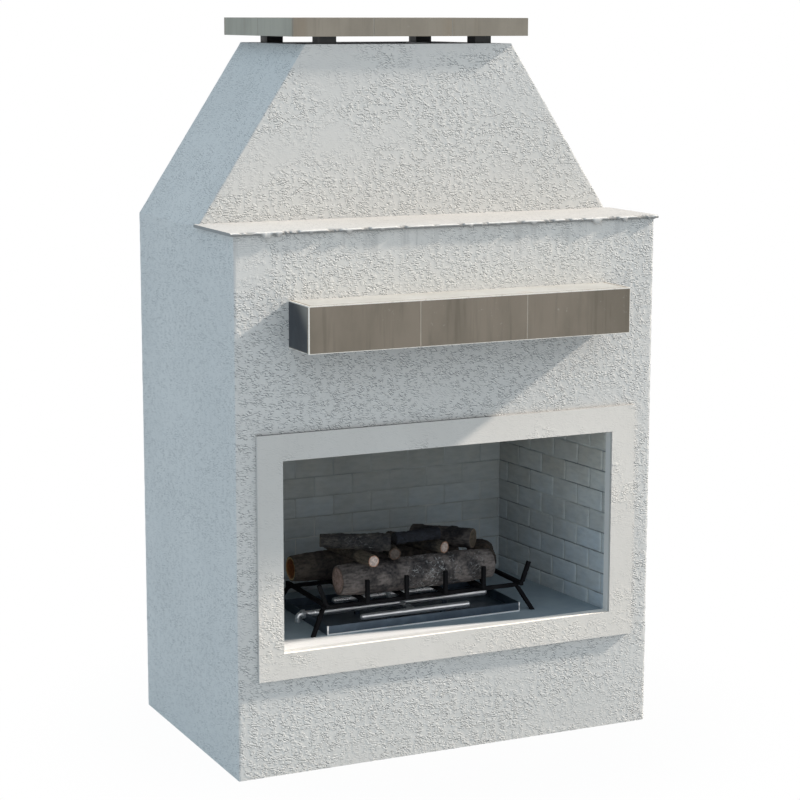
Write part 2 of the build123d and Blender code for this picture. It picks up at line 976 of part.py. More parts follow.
def grate_leg(x, side, y, kick):
    """Leg from under the end of a rail down to the hearth, splayed out and forwards or back."""
    rail_bottom = grate_levels()[0]
    start = (x, y, rail_bottom + grate_bar / 2)
    foot = (x + side * leg_splay, y + kick, hearth_height - grate_bar)
    leg = bar_between(start, foot)
    spread = 2 * leg_splay + 2 * grate_bar
    return leg & block(about(x, spread), about(y, spread), (hearth_height, rail_bottom))


def log_grate():
    xs = grate_xs()
    rail_bottom, bar_bottom, top = grate_levels()
    near, far = grate_spans()
    tip_y = near - grate_reach
    rail_x = (xs[0] - grate_bar / 2, xs[-1] + grate_bar / 2)
    pieces = [block(rail_x, about(y, grate_bar), (rail_bottom, bar_bottom)) for y in (near, far)]
    for index, x in enumerate(xs):
        side = (index == len(xs) - 1) - (index == 0)
        bar_y = (tip_y - grate_bar / 2, far + grate_bar / 2)
        pieces.append(block(about(x, grate_bar), bar_y, (bar_bottom, top)))
        pieces.append(grate_finger(x, side * finger_lean, tip_y))
    for x, side in ((xs[0], -1), (xs[-1], 1)):
        pieces.append(grate_leg(x, side, near, -leg_kick))
        pieces.append(grate_leg(x, side, far, leg_kick))
    return solids_of(*pieces)


# Logs. Each lies on the grate or on the logs below it. Their ends are places in the plan of the
# grate, as shares of its width from the middle and of its depth from the front rail.

log_end_shares = {
    "front": ((-0.405, 0.122), (0.381, 0.122)),
    "rear": ((-0.509, 0.874), (0.354, 0.874)),
    "upper_left": ((-0.479, 0.199), (-0.172, -0.041)),
    "charcoal": ((-0.122, 0.102), (0.113, 0.134)),
    "upper_right": ((0.107, 0.772), (0.316, 0.224)),
    "right": ((0.385, 0.281), (0.474, 0.776)),
    "branch_a": ((-0.293, -0.244), (-0.313, 0.894)),
    "branch_b": ((-0.146, -0.041), (-0.060, 0.874)),
    "branch_c": ((0.122, 0.020), (0.002, 0.874)),
}
front_log_shares = (0.88, 0.98, 1, 0.96, 1, 0.97, 0.86)
rear_log_shares = (0.84, 0.95, 1, 0.97, 1, 0.94, 0.8)
upper_left_log_shares = (0.76, 0.84, 0.9, 1, 1)
charcoal_log_shares = (1, 0.95, 0.98, 1)
upper_right_log_shares = (1, 1.02, 0.98, 1)
right_log_shares = (0.9, 1, 1)
branch_log_shares = (0.96, 1, 0.97, 0.96)
lower_logs = {
    "front": (front_log_radius, front_log_shares),
    "rear": (rear_log_radius, rear_log_shares),
}


def log_end(name, end):
    """X and Y of one end of a log."""
    across, deep = log_end_shares[name][end]
    return set_shift + across * grate_width, front_y + grate_setback + deep * grate_depth


def share_at(shares, place):
    """Share of a log's radius at a place along it, from 0 at one end to 1 at the other."""
    steps = len(shares) - 1
    index = min(int(place * steps), steps - 1)
    ahead = place * steps - index
    return shares[index] * (1 - ahead) + shares[index + 1] * ahead


def lying_log(name, x):
    """Depth, height and radius, at a place along X, of a log that lies on the grate's bars."""
    radius, shares = lower_logs[name]
    left, right = log_end(name, 0), log_end(name, 1)
    along = (x - left[0]) / (right[0] - left[0])
    return left[1], grate_levels()[2] + radius + log_rest, radius * share_at(shares, along)


def resting_z(name, radius, place):
    """Height of a log's middle where it rests across one of the lower logs."""
    below_y, below_z, below_radius = lying_log(name, place[0])
    return below_z + math.sqrt((radius + below_radius + log_rest) ** 2 - (place[1] - below_y) ** 2)


def log_solid(start, end, radius, shares):
    """Log with round sections between two points, with a share of the radius at each section."""
    axis = Vector(*end) - Vector(*start)
    rings = []
    for index, share in enumerate(shares):
        centre = Vector(*start) + axis * (index / (len(shares) - 1))
        rings.append(Wire.make_circle(radius * share, Plane(origin=centre, z_dir=axis)))
    return Solid.make_loft(rings, ruled=True)


def lower_log(name):
    radius, shares = lower_logs[name]
    ends = []
    for end in (0, 1):
        place = log_end(name, end)
        ends.append((*place, lying_log(name, place[0])[1]))
    return log_solid(*ends, radius, shares)


def front_log():
    return lower_log("front")


def rear_log():
    return lower_log("rear")


def bridge_height(radius, place):
    """Height at a place of a straight log that lies across the front log and the rear one."""
    front, rear = lying_log("front", place[0]), lying_log("rear", place[0])
    reach_front, reach_rear = [log[2] + radius + log_rest for log in (front, rear)]
    away, rise = rear[0] - front[0], rear[1] - front[1]
    lean = math.atan2(rise, away) + math.acos((reach_front - reach_rear) / math.hypot(away, rise))
    offset = front[0] * math.cos(lean) + front[1] * math.sin(lean) + reach_front
    return (offset - place[1] * math.cos(lean)) / math.sin(lean)


def branch_ends(name):
    """Front and rear ends of a branch that bridges the front log and the rear one."""
    places = [log_end(name, end) for end in (0, 1)]
    return [(*place, bridge_height(branch_log_radius, place)) for place in places]


def branch_logs():
    branches = []
    for name in ("branch_a", "branch_b", "branch_c"):
        branches.append(log_solid(*branch_ends(name), branch_log_radius, branch_log_shares))
    return solids_of(*branches)


def height_on_branch(name, radius, place, side):
    """Height of a log's middle where its end, on that side, lies on top of a branch."""
    start, end = branch_ends(name)
    share = (place[1] - start[1]) / (end[1] - start[1])
    short = max(0, -side * (place[0] - (start[0] + (end[0] - start[0]) * share)))
    under = start[2] + (end[2] - start[2]) * share
    return under + math.sqrt(branch_log_radius**2 - short**2) + radius + log_rest


def crossing_share(name, branch):
    """Share of a log's length at the place in the plan where it passes over a branch."""
    left, right = log_end(name, 0), log_end(name, 1)
    near, far = log_end(branch, 0), log_end(branch, 1)
    run = (right[0] - left[0], right[1] - left[1])
    under = (far[0] - near[0], far[1] - near[1])
    across = run[0] * under[1] - run[1] * under[0]
    return ((near[0] - left[0]) * under[1] - (near[1] - left[1]) * under[0]) / across


def upper_left_log():
    left, right = log_end("upper_left", 0), log_end("upper_left", 1)
    radius = upper_left_log_radius
    share = crossing_share("upper_left", "branch_a")
    place = [start + (end - start) * share for start, end in zip(left, right)]
    local_radius = radius * share_at(upper_left_log_shares, share)
    crossing = height_on_branch("branch_a", local_radius, place, 0)
    right_z = height_on_branch("branch_b", radius, right, 1)
    left_z = right_z + (crossing - right_z) / (1 - share)
    return log_solid((*left, left_z), (*right, right_z), radius, upper_left_log_shares)


def charcoal_log():
    left, right = log_end("charcoal", 0), log_end("charcoal", 1)
    start = (*left, height_on_branch("branch_b", charcoal_log_radius, left, -1))
    end = (*right, height_on_branch("branch_c", charcoal_log_radius, right, 1))
    return log_solid(start, end, charcoal_log_radius, charcoal_log_shares)


def upper_right_log():
    left, right = log_end("upper_right", 0), log_end("upper_right", 1)
    radius = upper_right_log_radius
    start = (*left, resting_z("rear", radius, left))
    end = (*right, resting_z("front", radius, right))
    return log_solid(start, end, radius, upper_right_log_shares)


def right_log():
    near, far = log_end("right", 0), log_end("right", 1)
    bar_x = grate_xs()[-1] - grate_bar / 2
    height = grate_levels()[2] + math.sqrt(right_log_radius**2 - (bar_x - far[0]) ** 2)
    return log_solid((*near, height), (*far, height), right_log_radius, right_log_shares)


# Access door


def door_spans(inset=0):
    """Width and height of the hole for the door's frame, inset all round."""
    return about(door_x, door_width - 2 * inset), (door_bottom + inset, door_bottom + door_height - inset)


def hinge_axis():
    """X and Y of the door's hinge pins."""
    x = door_spans(door_sheet)[0][0]
    return x, back_y + door_sheet + hinge_barrel_radius


def hinge_levels():
    """Middle height of each hinge."""
    low, high = door_spans()[1]
    inset = door_height * hinge_inset_share
    return low + inset, high - inset


def knuckle(z, bore):
    """Barrel of a hinge over a span of heights."""
    x, y = hinge_axis()
    barrel = rod((x, y, z[0]), (x, y, z[1]), hinge_barrel_radius)
    return barrel - rod((x, y, z[0] - cut), (x, y, z[1] + cut), bore)


def knuckle_spans(middle):
    """Heights of the lower, middle and upper knuckles of one hinge."""
    half = hinge_knuckle / 2
    return (
        (middle - half - door_gap - hinge_knuckle, middle - half - door_gap),
        (middle - half, middle + half),
        (middle + half + door_gap, middle + half + door_gap + hinge_knuckle),
    )


def hinge_tab(side, z):
    """Leaf of a hinge, from its barrel's foot along the face that it is fixed to."""
    x, y = hinge_axis()
    face = y - hinge_barrel_radius
    ends = sorted((x, x + side * hinge_leaf))
    tab = block(ends, (face, face + door_sheet), z)
    return tab - rod((x, y, z[0] - cut), (x, y, z[1] + cut), hinge_barrel_radius - door_sheet / 2)


def door_frame():
    outer_x, outer_z = door_spans(-door_flange)
    hole_x, hole_z = door_spans()
    inner_x, inner_z = door_spans(door_sheet)
    flange = block(outer_x, (back_y, back_y + door_sheet), outer_z)
    sleeve = block(hole_x, (back_y - skin, back_y + door_sheet), hole_z)
    clear = block(inner_x, (back_y - skin - cut, back_y + door_sheet + cut), inner_z)
    stop_y = back_y + door_sheet - door_rim - door_gap
    stop = block((inner_x[1] - door_stop, inner_x[1]), (stop_y - door_sheet, stop_y), inner_z)
    frame = flange + sleeve - clear + stop
    for middle in hinge_levels():
        low, _, high = knuckle_spans(middle)
        for z in (low, high):
            frame += hinge_tab(-1, z)
            frame += knuckle(z, hinge_pin_radius)
    return frame


def door_hinge_pins():
    x, y = hinge_axis()
    pins = []
    for middle in hinge_levels():
        low, _, high = knuckle_spans(middle)
        pin = rod((x, y, low[0]), (x, y, high[1]), hinge_pin_radius)
        head = rod((x, y, high[1]), (x, y, high[1] + hinge_pin_head), hinge_barrel_radius)
        pins.append(pin + head)
    return solids_of(*pins)


def door_leaf():
    """Folded sheet of the access door, with its louvres."""
    x, z = door_spans(door_sheet + door_clearance)
    face_y = (back_y, back_y + door_sheet)
    rim_y = (face_y[1] - door_rim, face_y[1])
    hollow = block(
        (x[0] + door_sheet, x[1] - door_sheet),
        (rim_y[0] - cut, face_y[0]),
        (z[0] + door_sheet, z[1] - door_sheet),
    )
    leaf = block(x, rim_y, z) - hollow
    louvre_x = about((x[0] + x[1]) / 2, (x[1] - x[0]) * slot_width_share)
    for index in range(slot_count):
        level = (z[0] + z[1]) / 2 + (index - (slot_count - 1) / 2) * slot_pitch
        leaf -= block(louvre_x, (face_y[0] - cut, face_y[1] + cut), about(level, slot_height))
    return leaf


def door_pull():
    """Folded lip that the door is opened by."""
    x, z = door_spans(door_sheet + door_clearance)
    face = back_y + door_sheet
    web_x = x[1] - pull_lip - door_sheet
    span = about((z[0] + z[1]) / 2, pull_height)
    web = block((web_x, web_x + door_sheet), (face, face + pull_stand), span)
    lip = block((web_x - pull_lip, web_x), (face + pull_stand - door_sheet, face + pull_stand), span)
    return web + lip


def rear_door():
    door = door_leaf() + door_pull()
    for middle in hinge_levels():
        _, span, _ = knuckle_spans(middle)
        door += hinge_tab(1, span)
        door += knuckle(span, hinge_pin_radius + hinge_clearance)
    return door


def main():
    os.makedirs("parts", exist_ok=True)
    pieces = {
        "base_rails": base_rails,
        "corner_studs": corner_studs,
        "hearth_rails": hearth_rails,
        "shoulder_rails": shoulder_rails,
        "lintel_angle": lintel_angle,
        "hood_frame": hood_frame,
        "front_board": front_board,
        "side_boards": side_boards,
        "back_board": back_board,
        "shoulder_board": shoulder_board,
        "hood_front_board": hood_front_board,
        "hood_side_boards": hood_side_boards,
        "front_stucco": front_stucco,
        "left_stucco": left_stucco,
        "right_stucco": right_stucco,
        "back_stucco": back_stucco,
        "hood_front_stucco": hood_front_stucco,
        "hood_left_stucco": hood_left_stucco,
        "hood_right_stucco": hood_right_stucco,
        "shoulder_ledge": shoulder_ledge,
        "firebox_surround": firebox_surround,
        "mantel_core": mantel_core,
        "mantel_front_tiles": mantel_front_tiles,
        "mantel_end_tiles": mantel_end_tiles,
        "mantel_top_tile": mantel_top_tile,
        "mantel_bottom_tile": mantel_bottom_tile,
        "mantel_edge_trim": mantel_edge_trim,
        "mantel_brackets": mantel_brackets,
        "mantel_anchors": mantel_anchors,
        "cap_core": cap_core,
        "cap_face_tiles": cap_face_tiles,
        "cap_end_tiles": cap_end_tiles,
        "cap_top_tiles": cap_top_tiles,
        "cap_posts": cap_posts,
        "hood_top_plate": hood_top_plate,
        "flue_liner": flue_liner,
        "smoke_chamber": smoke_chamber,
        "firebox_shell": firebox_shell,
        "back_brick_panel": back_brick_panel,
        "left_brick_panel": left_brick_panel,
        "right_brick_panel": right_brick_panel,
        "hearth_panel": hearth_panel,
        "burner_pan": burner_pan,
        "burner_tubes": burner_tubes,
        "gas_inlet": gas_inlet,
        "gas_connector": gas_connector,
        "gas_riser": gas_riser,
        "shutoff_valve": shutoff_valve,
        "shutoff_lever": shutoff_lever,
        "log_grate": log_grate,
        "front_log": front_log,
        "rear_log": rear_log,
        "upper_left_log": upper_left_log,
        "charcoal_log": charcoal_log,
        "upper_right_log": upper_right_log,
        "right_log": right_log,
        "branch_logs": branch_logs,
        "door_frame": door_frame,
        "door_hinge_pins": door_hinge_pins,
        "rear_door": rear_door,
    }
    for name, build in pieces.items():
        export_step(build(), f"parts/{name}.step")


if __name__ == "__main__":
    main()
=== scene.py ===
"""Outdoor gas fireplace: finishes and worked surfaces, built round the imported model.

Lengths are in metres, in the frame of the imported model: +X to the right, +Y to the back and +Z up.
Each sub-assembly is a class that builds its pieces and dresses them.
"""

from __future__ import annotations

import logging
import math
from dataclasses import dataclass, field
from enum import Enum
from typing import ClassVar

import bpy
import numpy as np
from mathutils import Matrix, Vector

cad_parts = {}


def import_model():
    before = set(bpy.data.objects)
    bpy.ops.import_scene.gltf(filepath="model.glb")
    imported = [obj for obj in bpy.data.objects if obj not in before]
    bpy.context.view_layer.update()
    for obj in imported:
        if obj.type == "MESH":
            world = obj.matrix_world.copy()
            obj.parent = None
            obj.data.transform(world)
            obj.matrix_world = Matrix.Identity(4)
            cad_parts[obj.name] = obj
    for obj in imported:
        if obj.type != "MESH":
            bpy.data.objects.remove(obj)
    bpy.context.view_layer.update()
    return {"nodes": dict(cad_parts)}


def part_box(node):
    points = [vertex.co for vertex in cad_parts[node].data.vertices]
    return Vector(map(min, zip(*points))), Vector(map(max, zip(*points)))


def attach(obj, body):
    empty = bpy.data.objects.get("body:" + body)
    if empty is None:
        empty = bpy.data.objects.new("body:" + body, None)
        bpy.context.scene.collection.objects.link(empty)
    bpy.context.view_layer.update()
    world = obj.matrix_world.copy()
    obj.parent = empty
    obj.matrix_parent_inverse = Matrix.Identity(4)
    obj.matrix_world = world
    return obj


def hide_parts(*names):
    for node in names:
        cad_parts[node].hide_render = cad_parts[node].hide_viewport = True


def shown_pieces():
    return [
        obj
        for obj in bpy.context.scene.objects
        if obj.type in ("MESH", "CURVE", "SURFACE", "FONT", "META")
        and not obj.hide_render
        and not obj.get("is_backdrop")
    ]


LOG = logging.getLogger("fireplace")
MM = 0.001
Array = np.ndarray
Colour = tuple[float, float, float]


def srgb(red: float, green: float, blue: float) -> Colour:
    """Returns a linear colour from display values of 0 to 255."""
    shares = (red / 255, green / 255, blue / 255)
    return tuple(v / 12.92 if v <= 0.04045 else ((v + 0.055) / 1.055) ** 2.4 for v in shares)


def smooth(low: float, high: float, value: Array) -> Array:
    """Returns 0 below low, 1 above high and a smooth rise between."""
    share = np.clip((value - low) / (high - low), 0, 1)
    return share * share * (3 - 2 * share)


def points_of(x: Array | float, y: Array | float, z: Array | float = 0.0) -> Array:
    """Returns points, one a row, from coordinates that are arrays or one number for all."""
    return np.stack(np.broadcast_arrays(x, y, z), 1)


# Seeded noise on arrays of points


class Grain:
    """Seeded smooth noise on arrays of points, the same on each run."""

    PRIMES = (73856093, 19349663, 83492791, 2654435761, 0x9E3779B97F4A7C15)
    WORD = (1 << 64) - 1

    def __init__(self, seed: int) -> None:
        """Keeps the seed as a word that is mixed into each cell's number."""
        self.salt = np.uint64((seed * self.PRIMES[3]) & self.WORD)

    def _number(self, cells: Array) -> Array:
        """Returns a scrambled word for each cell of the lattice."""
        c = cells.astype(np.int64).view(np.uint64)
        p = [np.uint64(v) for v in self.PRIMES]
        word = (c[:, 0] * p[0]) ^ (c[:, 1] * p[1]) ^ (c[:, 2] * p[2]) ^ self.salt
        word = (word ^ (word >> np.uint64(29))) * p[4]
        return word ^ (word >> np.uint64(32))

    def triple(self, cells: Array) -> Array:
        """Returns three values of 0 to 1 for each cell."""
        word = self._number(cells)
        parts = [(word >> np.uint64(shift)) & np.uint64(1023) for shift in (0, 10, 20)]
        return np.stack(parts, 1).astype(float) / 1023

    def at(self, points: Array, size: float | tuple[float, float, float]) -> Array:
        """Smooth noise of about -1 to 1.

        Args:
            points: Places, one a row.
            size: Length of one wave, for all directions or for each.

        Returns:
            One value a point.
        """
        place = points / np.asarray(size)
        base = np.floor(place).astype(np.int64)
        part = place - base
        ease = part**3 * (part * (part * 6 - 15) + 10)
        total = np.zeros(len(points))
        for corner in np.ndindex(2, 2, 2):
            offset = np.array(corner)
            slope = self.triple(base + offset) * 2 - 1
            weight = np.prod(np.where(offset, ease, 1 - ease), axis=1)
            total += ((part - offset) * slope).sum(1) * weight
        return total * 1.6

    def layers(self, points: Array, size: float | tuple, count: int, gain: float = 0.5) -> Array:
        """Noise of several sizes, each half the one before.

        Args:
            points: Places, one a row.
            size: Length of the longest wave.
            count: How many sizes.
            gain: Strength of each size against the one before.

        Returns:
            One value a point, of about -1 to 1.
        """
        total = np.zeros(len(points))
        strength, whole = 1.0, 0.0
        for index in range(count):
            total += self.at(points + 7.3 * index, np.asarray(size) / 2**index) * strength
            whole += strength
            strength *= gain
        return total / whole

    def cracks(self, points: Array, size: float | tuple) -> Array:
        """Distance from the edges of scattered cells, 0 on an edge and about 1 in a middle.

        Args:
            points: Places, one a row.
            size: Width of a cell.

        Returns:
            One value a point.
        """
        place = points / np.asarray(size)
        base = np.floor(place).astype(np.int64)
        near = np.full(len(points), 9.0)
        second = np.full(len(points), 9.0)
        for offset in np.ndindex(3, 3, 3):
            cell = base + np.array(offset) - 1
            away = np.linalg.norm(cell + self.triple(cell) - place, axis=1)
            second = np.minimum(second, np.maximum(near, away))
            near = np.minimum(near, away)
        return second - near


# Meshes


@dataclass
class Draft:
    """Points, faces and values of a piece, gathered before they become a mesh."""

    points: list = field(default_factory=list)
    faces: list = field(default_factory=list)
    values: dict = field(default_factory=dict)
    count: int = 0

    def add(self, points: Array, faces: list, **values: Array | float) -> None:
        """Adds a part.

        Args:
            points: Places, one a row.
            faces: Corner numbers of each face, from 0 in this part.
            values: Named numbers, one a point or one for the part.
        """
        self.points.append(points)
        self.faces += [[corner + self.count for corner in face] for face in faces]
        for name, value in values.items():
            column = np.broadcast_to(np.asarray(value, float), (len(points),))
            self.values.setdefault(name, []).append(column)
        self.count += len(points)

    def piece(self, name: str, crease: float = 50.0) -> bpy.types.Object:
        """Makes the object.

        Args:
            name: The piece's name.
            crease: Angle in degrees above which an edge stays sharp.

        Returns:
            The object, at the origin, with its place in its mesh.
        """
        mesh = bpy.data.meshes.new(name)
        mesh.from_pydata(np.concatenate(self.points).tolist(), [], self.faces)
        for label, columns in self.values.items():
            layer = mesh.attributes.new(label, "FLOAT", "POINT")
            layer.data.foreach_set("value", np.concatenate(columns).astype(np.float32))
        mesh.shade_smooth()
        mesh.set_sharp_from_angle(angle=math.radians(crease))
        mesh.validate()
        made = bpy.data.objects.new(name, mesh)
        bpy.context.scene.collection.objects.link(made)
        return made


def settle(
    made: bpy.types.Object, look: bpy.types.Material, slot: str, *nodes: str, body: str = "casing"
) -> bpy.types.Object:
    """Gives a piece its material and its body, and hides the nodes that it stands for.

    Args:
        made: The piece.
        look: Its material.
        slot: Not used.
        nodes: CAD nodes that it replaces.
        body: The CAD body that it rides on.

    Returns:
        The piece.
    """
    made.data.materials.clear()
    made.data.materials.append(look)
    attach(made, body)
    if nodes:
        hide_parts(*nodes)
    LOG.info("%s: %d faces", made.name, len(made.data.polygons))
    return made


def grid_faces(rows: int, columns: int, kept: Array | None = None) -> Array:
    """Corner numbers of the faces of a grid of points.

    Args:
        rows: Number of rows of points.
        columns: Number of points in a row.
        kept: Which faces stay, or None for all.

    Returns:
        One face a row, with four corners.
    """
    first = (np.arange(rows - 1)[:, None] * columns + np.arange(columns - 1)[None, :]).reshape(-1)
    faces = np.stack([first, first + 1, first + columns + 1, first + columns], 1)
    return faces if kept is None else faces[kept.reshape(-1)]


def ring_faces(rings: int, count: int) -> list[list[int]]:
    """Corner numbers of the faces between closed rings of points, one ring after the other."""
    faces = []
    for row in range(0, (rings - 1) * count, count):
        for one, two in zip(range(count), [*range(1, count), 0]):
            faces.append([row + one, row + two, row + two + count, row + one + count])
    return faces


def divided(places: list[float], step: float) -> Array:
    """Splits the runs between places into equal parts of about a step."""
    parts = []
    for low, high in zip(places, places[1:]):
        count = max(1, round((high - low) / step))
        parts.append(np.linspace(low, high, count + 1)[:-1])
    return np.append(np.concatenate(parts), places[-1])


def open_edges(faces: Array) -> Array:
    """Returns the edges of one face only, in the direction of that face."""
    edges = np.concatenate([faces[:, [k, (k + 1) % 4]] for k in range(4)])
    code = edges[:, 0].astype(np.int64) * (faces.max() + 1) + edges[:, 1]
    back = edges[:, 1].astype(np.int64) * (faces.max() + 1) + edges[:, 0]
    return edges[~np.isin(code, back)]


def loops_of(edges: Array) -> list[list[int]]:
    """Returns the closed runs that directed edges make, the longest first."""
    following = {int(a): int(b) for a, b in edges}
    loops = []
    while following:
        start, here = next(iter(following.items()))
        loop = [start]
        del following[start]
        while here != start:
            loop.append(here)
            here = following.pop(here)
        loops.append(loop)
    return sorted(loops, key=len, reverse=True)


def backed(faces: Array, count: int) -> tuple[list[list[int]], dict[int, int], list[list[int]]]:
    """Gives a sheet the sides of a slab, each rim point with a twin behind it.

    Args:
        faces: The sheet's faces.
        count: How many points the sheet has. The twins are numbered from there.

    Returns:
        The rim's runs, the twin of each rim point in their order, and the faces of sheet and sides.
    """
    rim = open_edges(faces)
    loops = loops_of(rim)
    twins = {corner: count + k for k, corner in enumerate(corner for loop in loops for corner in loop)}
    return loops, twins, faces.tolist() + [[b, a, twins[a], twins[b]] for a, b in rim.tolist()]


# Shader graphs


class Signal:
    """A socket that gives a value, with sums written as Python expressions."""

    def __init__(self, graph: "Tree", socket: bpy.types.NodeSocket) -> None:
        """Keeps the tree and the socket."""
        self.graph = graph
        self.socket = socket

    def other(self, name: int | str) -> "Signal":
        """Another output of the same node."""
        return Signal(self.graph, self.socket.node.outputs[name])

    def _sum(self, operation: str, first: "Signal | float", second: "Signal | float") -> "Signal":
        """Adds a Math node."""
        return self.graph.node("ShaderNodeMath", {"operation": operation}, {0: first, 1: second})

    def __add__(self, other: "Signal | float") -> "Signal":
        """Sum."""
        return self._sum("ADD", self, other)

    def __radd__(self, other: float) -> "Signal":
        """Sum with a number on the left."""
        return self._sum("ADD", other, self)

    def __sub__(self, other: "Signal | float") -> "Signal":
        """Difference."""
        return self._sum("SUBTRACT", self, other)

    def __rsub__(self, other: float) -> "Signal":
        """Difference from a number."""
        return self._sum("SUBTRACT", other, self)

    def __mul__(self, other: "Signal | float") -> "Signal":
        """Product."""
        return self._sum("MULTIPLY", self, other)

    def __rmul__(self, other: float) -> "Signal":
        """Product with a number on the left."""
        return self._sum("MULTIPLY", other, self)

    def __abs__(self) -> "Signal":
        """Size without its sign."""
        return self.graph.node("ShaderNodeMath", {"operation": "ABSOLUTE"}, {0: self})

    def least(self, other: "Signal | float") -> "Signal":
        """The smaller of two values."""
        return self._sum("MINIMUM", self, other)

    def most(self, other: "Signal | float") -> "Signal":
        """The greater of two values."""
        return self._sum("MAXIMUM", self, other)

    def limited(self) -> "Signal":
        """The value held between 0 and 1."""
        return self.graph.node("ShaderNodeClamp", {}, {"Value": self})

    def rise(self, low: float, high: float, start: float = 0.0, end: float = 1.0) -> "Signal":
        """Smooth step.

        Args:
            low: Value at which the step begins.
            high: Value at which it ends.
            start: Result below low.
            end: Result above high.

        Returns:
            The stepped value.
        """
        settings = {"interpolation_type": "SMOOTHSTEP"}
        values = {"Value": self, "From Min": low, "From Max": high, "To Min": start, "To Max": end}
        return self.graph.node("ShaderNodeMapRange", settings, values)


class Tree:
    """A node tree, emptied and then filled through expressions."""

    def __init__(self, owner: bpy.types.ID, end: str) -> None:
        """Empties the owner's tree and adds its last node."""
        owner.use_nodes = True
        self.tree = owner.node_tree
        self.tree.nodes.clear()
        self.end = self.tree.nodes.new(end)
        self.coords: Signal | None = None

    def feed(self, socket: bpy.types.NodeSocket, value: "Signal | float | tuple") -> None:
        """Links a signal to a socket, or sets the socket's own value."""
        if isinstance(value, Signal):
            self.tree.links.new(value.socket, socket)
        elif socket.type == "RGBA":
            socket.default_value = (*value, 1.0)
        else:
            socket.default_value = value

    def node(self, kind: str, settings: dict, inputs: dict, out: int | str = 0) -> Signal:
        """Adds any node.

        Args:
            kind: The node's type.
            settings: Its own settings, set first.
            inputs: Values or signals by the socket's name or number.
            out: Name or number of the output.

        Returns:
            The output's signal.
        """
        added = self.tree.nodes.new(kind)
        for name, value in settings.items():
            setattr(added, name, value)
        for key, value in inputs.items():
            self.feed(added.inputs[key], value)
        return Signal(self, added.outputs[out])

    def place(self) -> Signal:
        """The point's place in the piece's own frame."""
        if self.coords is None:
            self.coords = self.node("ShaderNodeTexCoord", {}, {}, "Object")
        return self.coords

    def axes(self, vector: Signal | None = None) -> tuple[Signal, Signal, Signal]:
        """The three coordinates of a vector, or else of the place."""
        first = self.node("ShaderNodeSeparateXYZ", {}, {0: vector or self.place()}, 0)
        return first, first.other(1), first.other(2)

    def seen(self) -> Signal:
        """1 for rays that look at the picture: direct, mirrored or through glass."""
        rays = self.node("ShaderNodeLightPath", {}, {}, "Is Camera Ray")
        return (rays + rays.other("Is Glossy Ray") + rays.other("Is Transmission Ray")).limited()

    def mix(self, share: "Signal | float", first: Signal, second: Signal) -> Signal:
        """Shader that goes from the first to the second."""
        return self.node("ShaderNodeMixShader", {}, {0: share, 1: first, 2: second})

    def stretched(self, scale: tuple, turn: tuple = (0, 0, 0), shift: tuple = (0, 0, 0)) -> Signal:
        """The place with each axis scaled, then turned, then shifted."""
        inputs = {"Vector": self.place(), "Rotation": turn, "Scale": scale, "Location": shift}
        return self.node("ShaderNodeMapping", {"vector_type": "POINT"}, inputs)

    def mottle(
        self, size: float, detail: float = 3.0, rough: float = 0.55, vector: Signal | None = None
    ) -> Signal:
        """Noise whose patches are about a size across.

        Args:
            size: Width of a patch.
            detail: How many finer layers.
            rough: Strength of the finer layers.
            vector: Stretched place, or None for the plain one.

        Returns:
            A value of 0 to 1, mostly near 0.5.
        """
        inputs = {"Vector": vector or self.place(), "Scale": 1 / size, "Detail": detail, "Roughness": rough}
        return self.node("ShaderNodeTexNoise", {"noise_dimensions": "3D"}, inputs)

    def cracked(self, size: float) -> Signal:
        """Distance from the edges of scattered cells, in cell widths."""
        inputs = {"Vector": self.place(), "Scale": 1 / size}
        return self.node("ShaderNodeTexVoronoi", {"feature": "DISTANCE_TO_EDGE"}, inputs, "Distance")

    def blend(self, share: "Signal | float", first: "Signal | Colour", second: "Signal | Colour") -> Signal:
        """Colour that goes from the first to the second."""
        settings = {"data_type": "RGBA", "blend_type": "MIX"}
        return self.node("ShaderNodeMix", settings, {0: share, 6: first, 7: second}, 2)


class Graph(Tree):
    """The node tree of one material, with a Principled shader at its end."""

    def __init__(self, name: str) -> None:
        """Makes the material and its shader."""
        self.material = bpy.data.materials.new(name)
        super().__init__(self.material, "ShaderNodeOutputMaterial")
        self.shader = self.tree.nodes.new("ShaderNodeBsdfPrincipled")
        self.tree.links.new(self.shader.outputs[0], self.end.inputs[0])

    def worn(self, name: str) -> Signal:
        """A named value that the mesh carries."""
        return self.node("ShaderNodeAttribute", {"attribute_name": name}, {}, "Fac")

    def relief(self, height: Signal, depth: float, strength: float = 1.0) -> None:
        """Bumps the surface by a height of 0 to 1 times a depth."""
        inputs = {"Strength": strength, "Distance": depth, "Height": height}
        self.feed(self.shader.inputs["Normal"], self.node("ShaderNodeBump", {}, inputs))

    def finish(
        self, colour: "Signal | Colour", rough: "Signal | float", **plain: float
    ) -> bpy.types.Material:
        """Feeds the shader.

        Args:
            colour: The base colour.
            rough: The roughness.
            plain: Constants of other sockets, by name with underscores.

        Returns:
            The material.
        """
        self.feed(self.shader.inputs["Base Color"], colour)
        self.feed(self.shader.inputs["Roughness"], rough)
        for name, value in plain.items():
            self.feed(self.shader.inputs[name.replace("_", " ").title().replace("Ior", "IOR")], value)
        return self.material


# Finishes


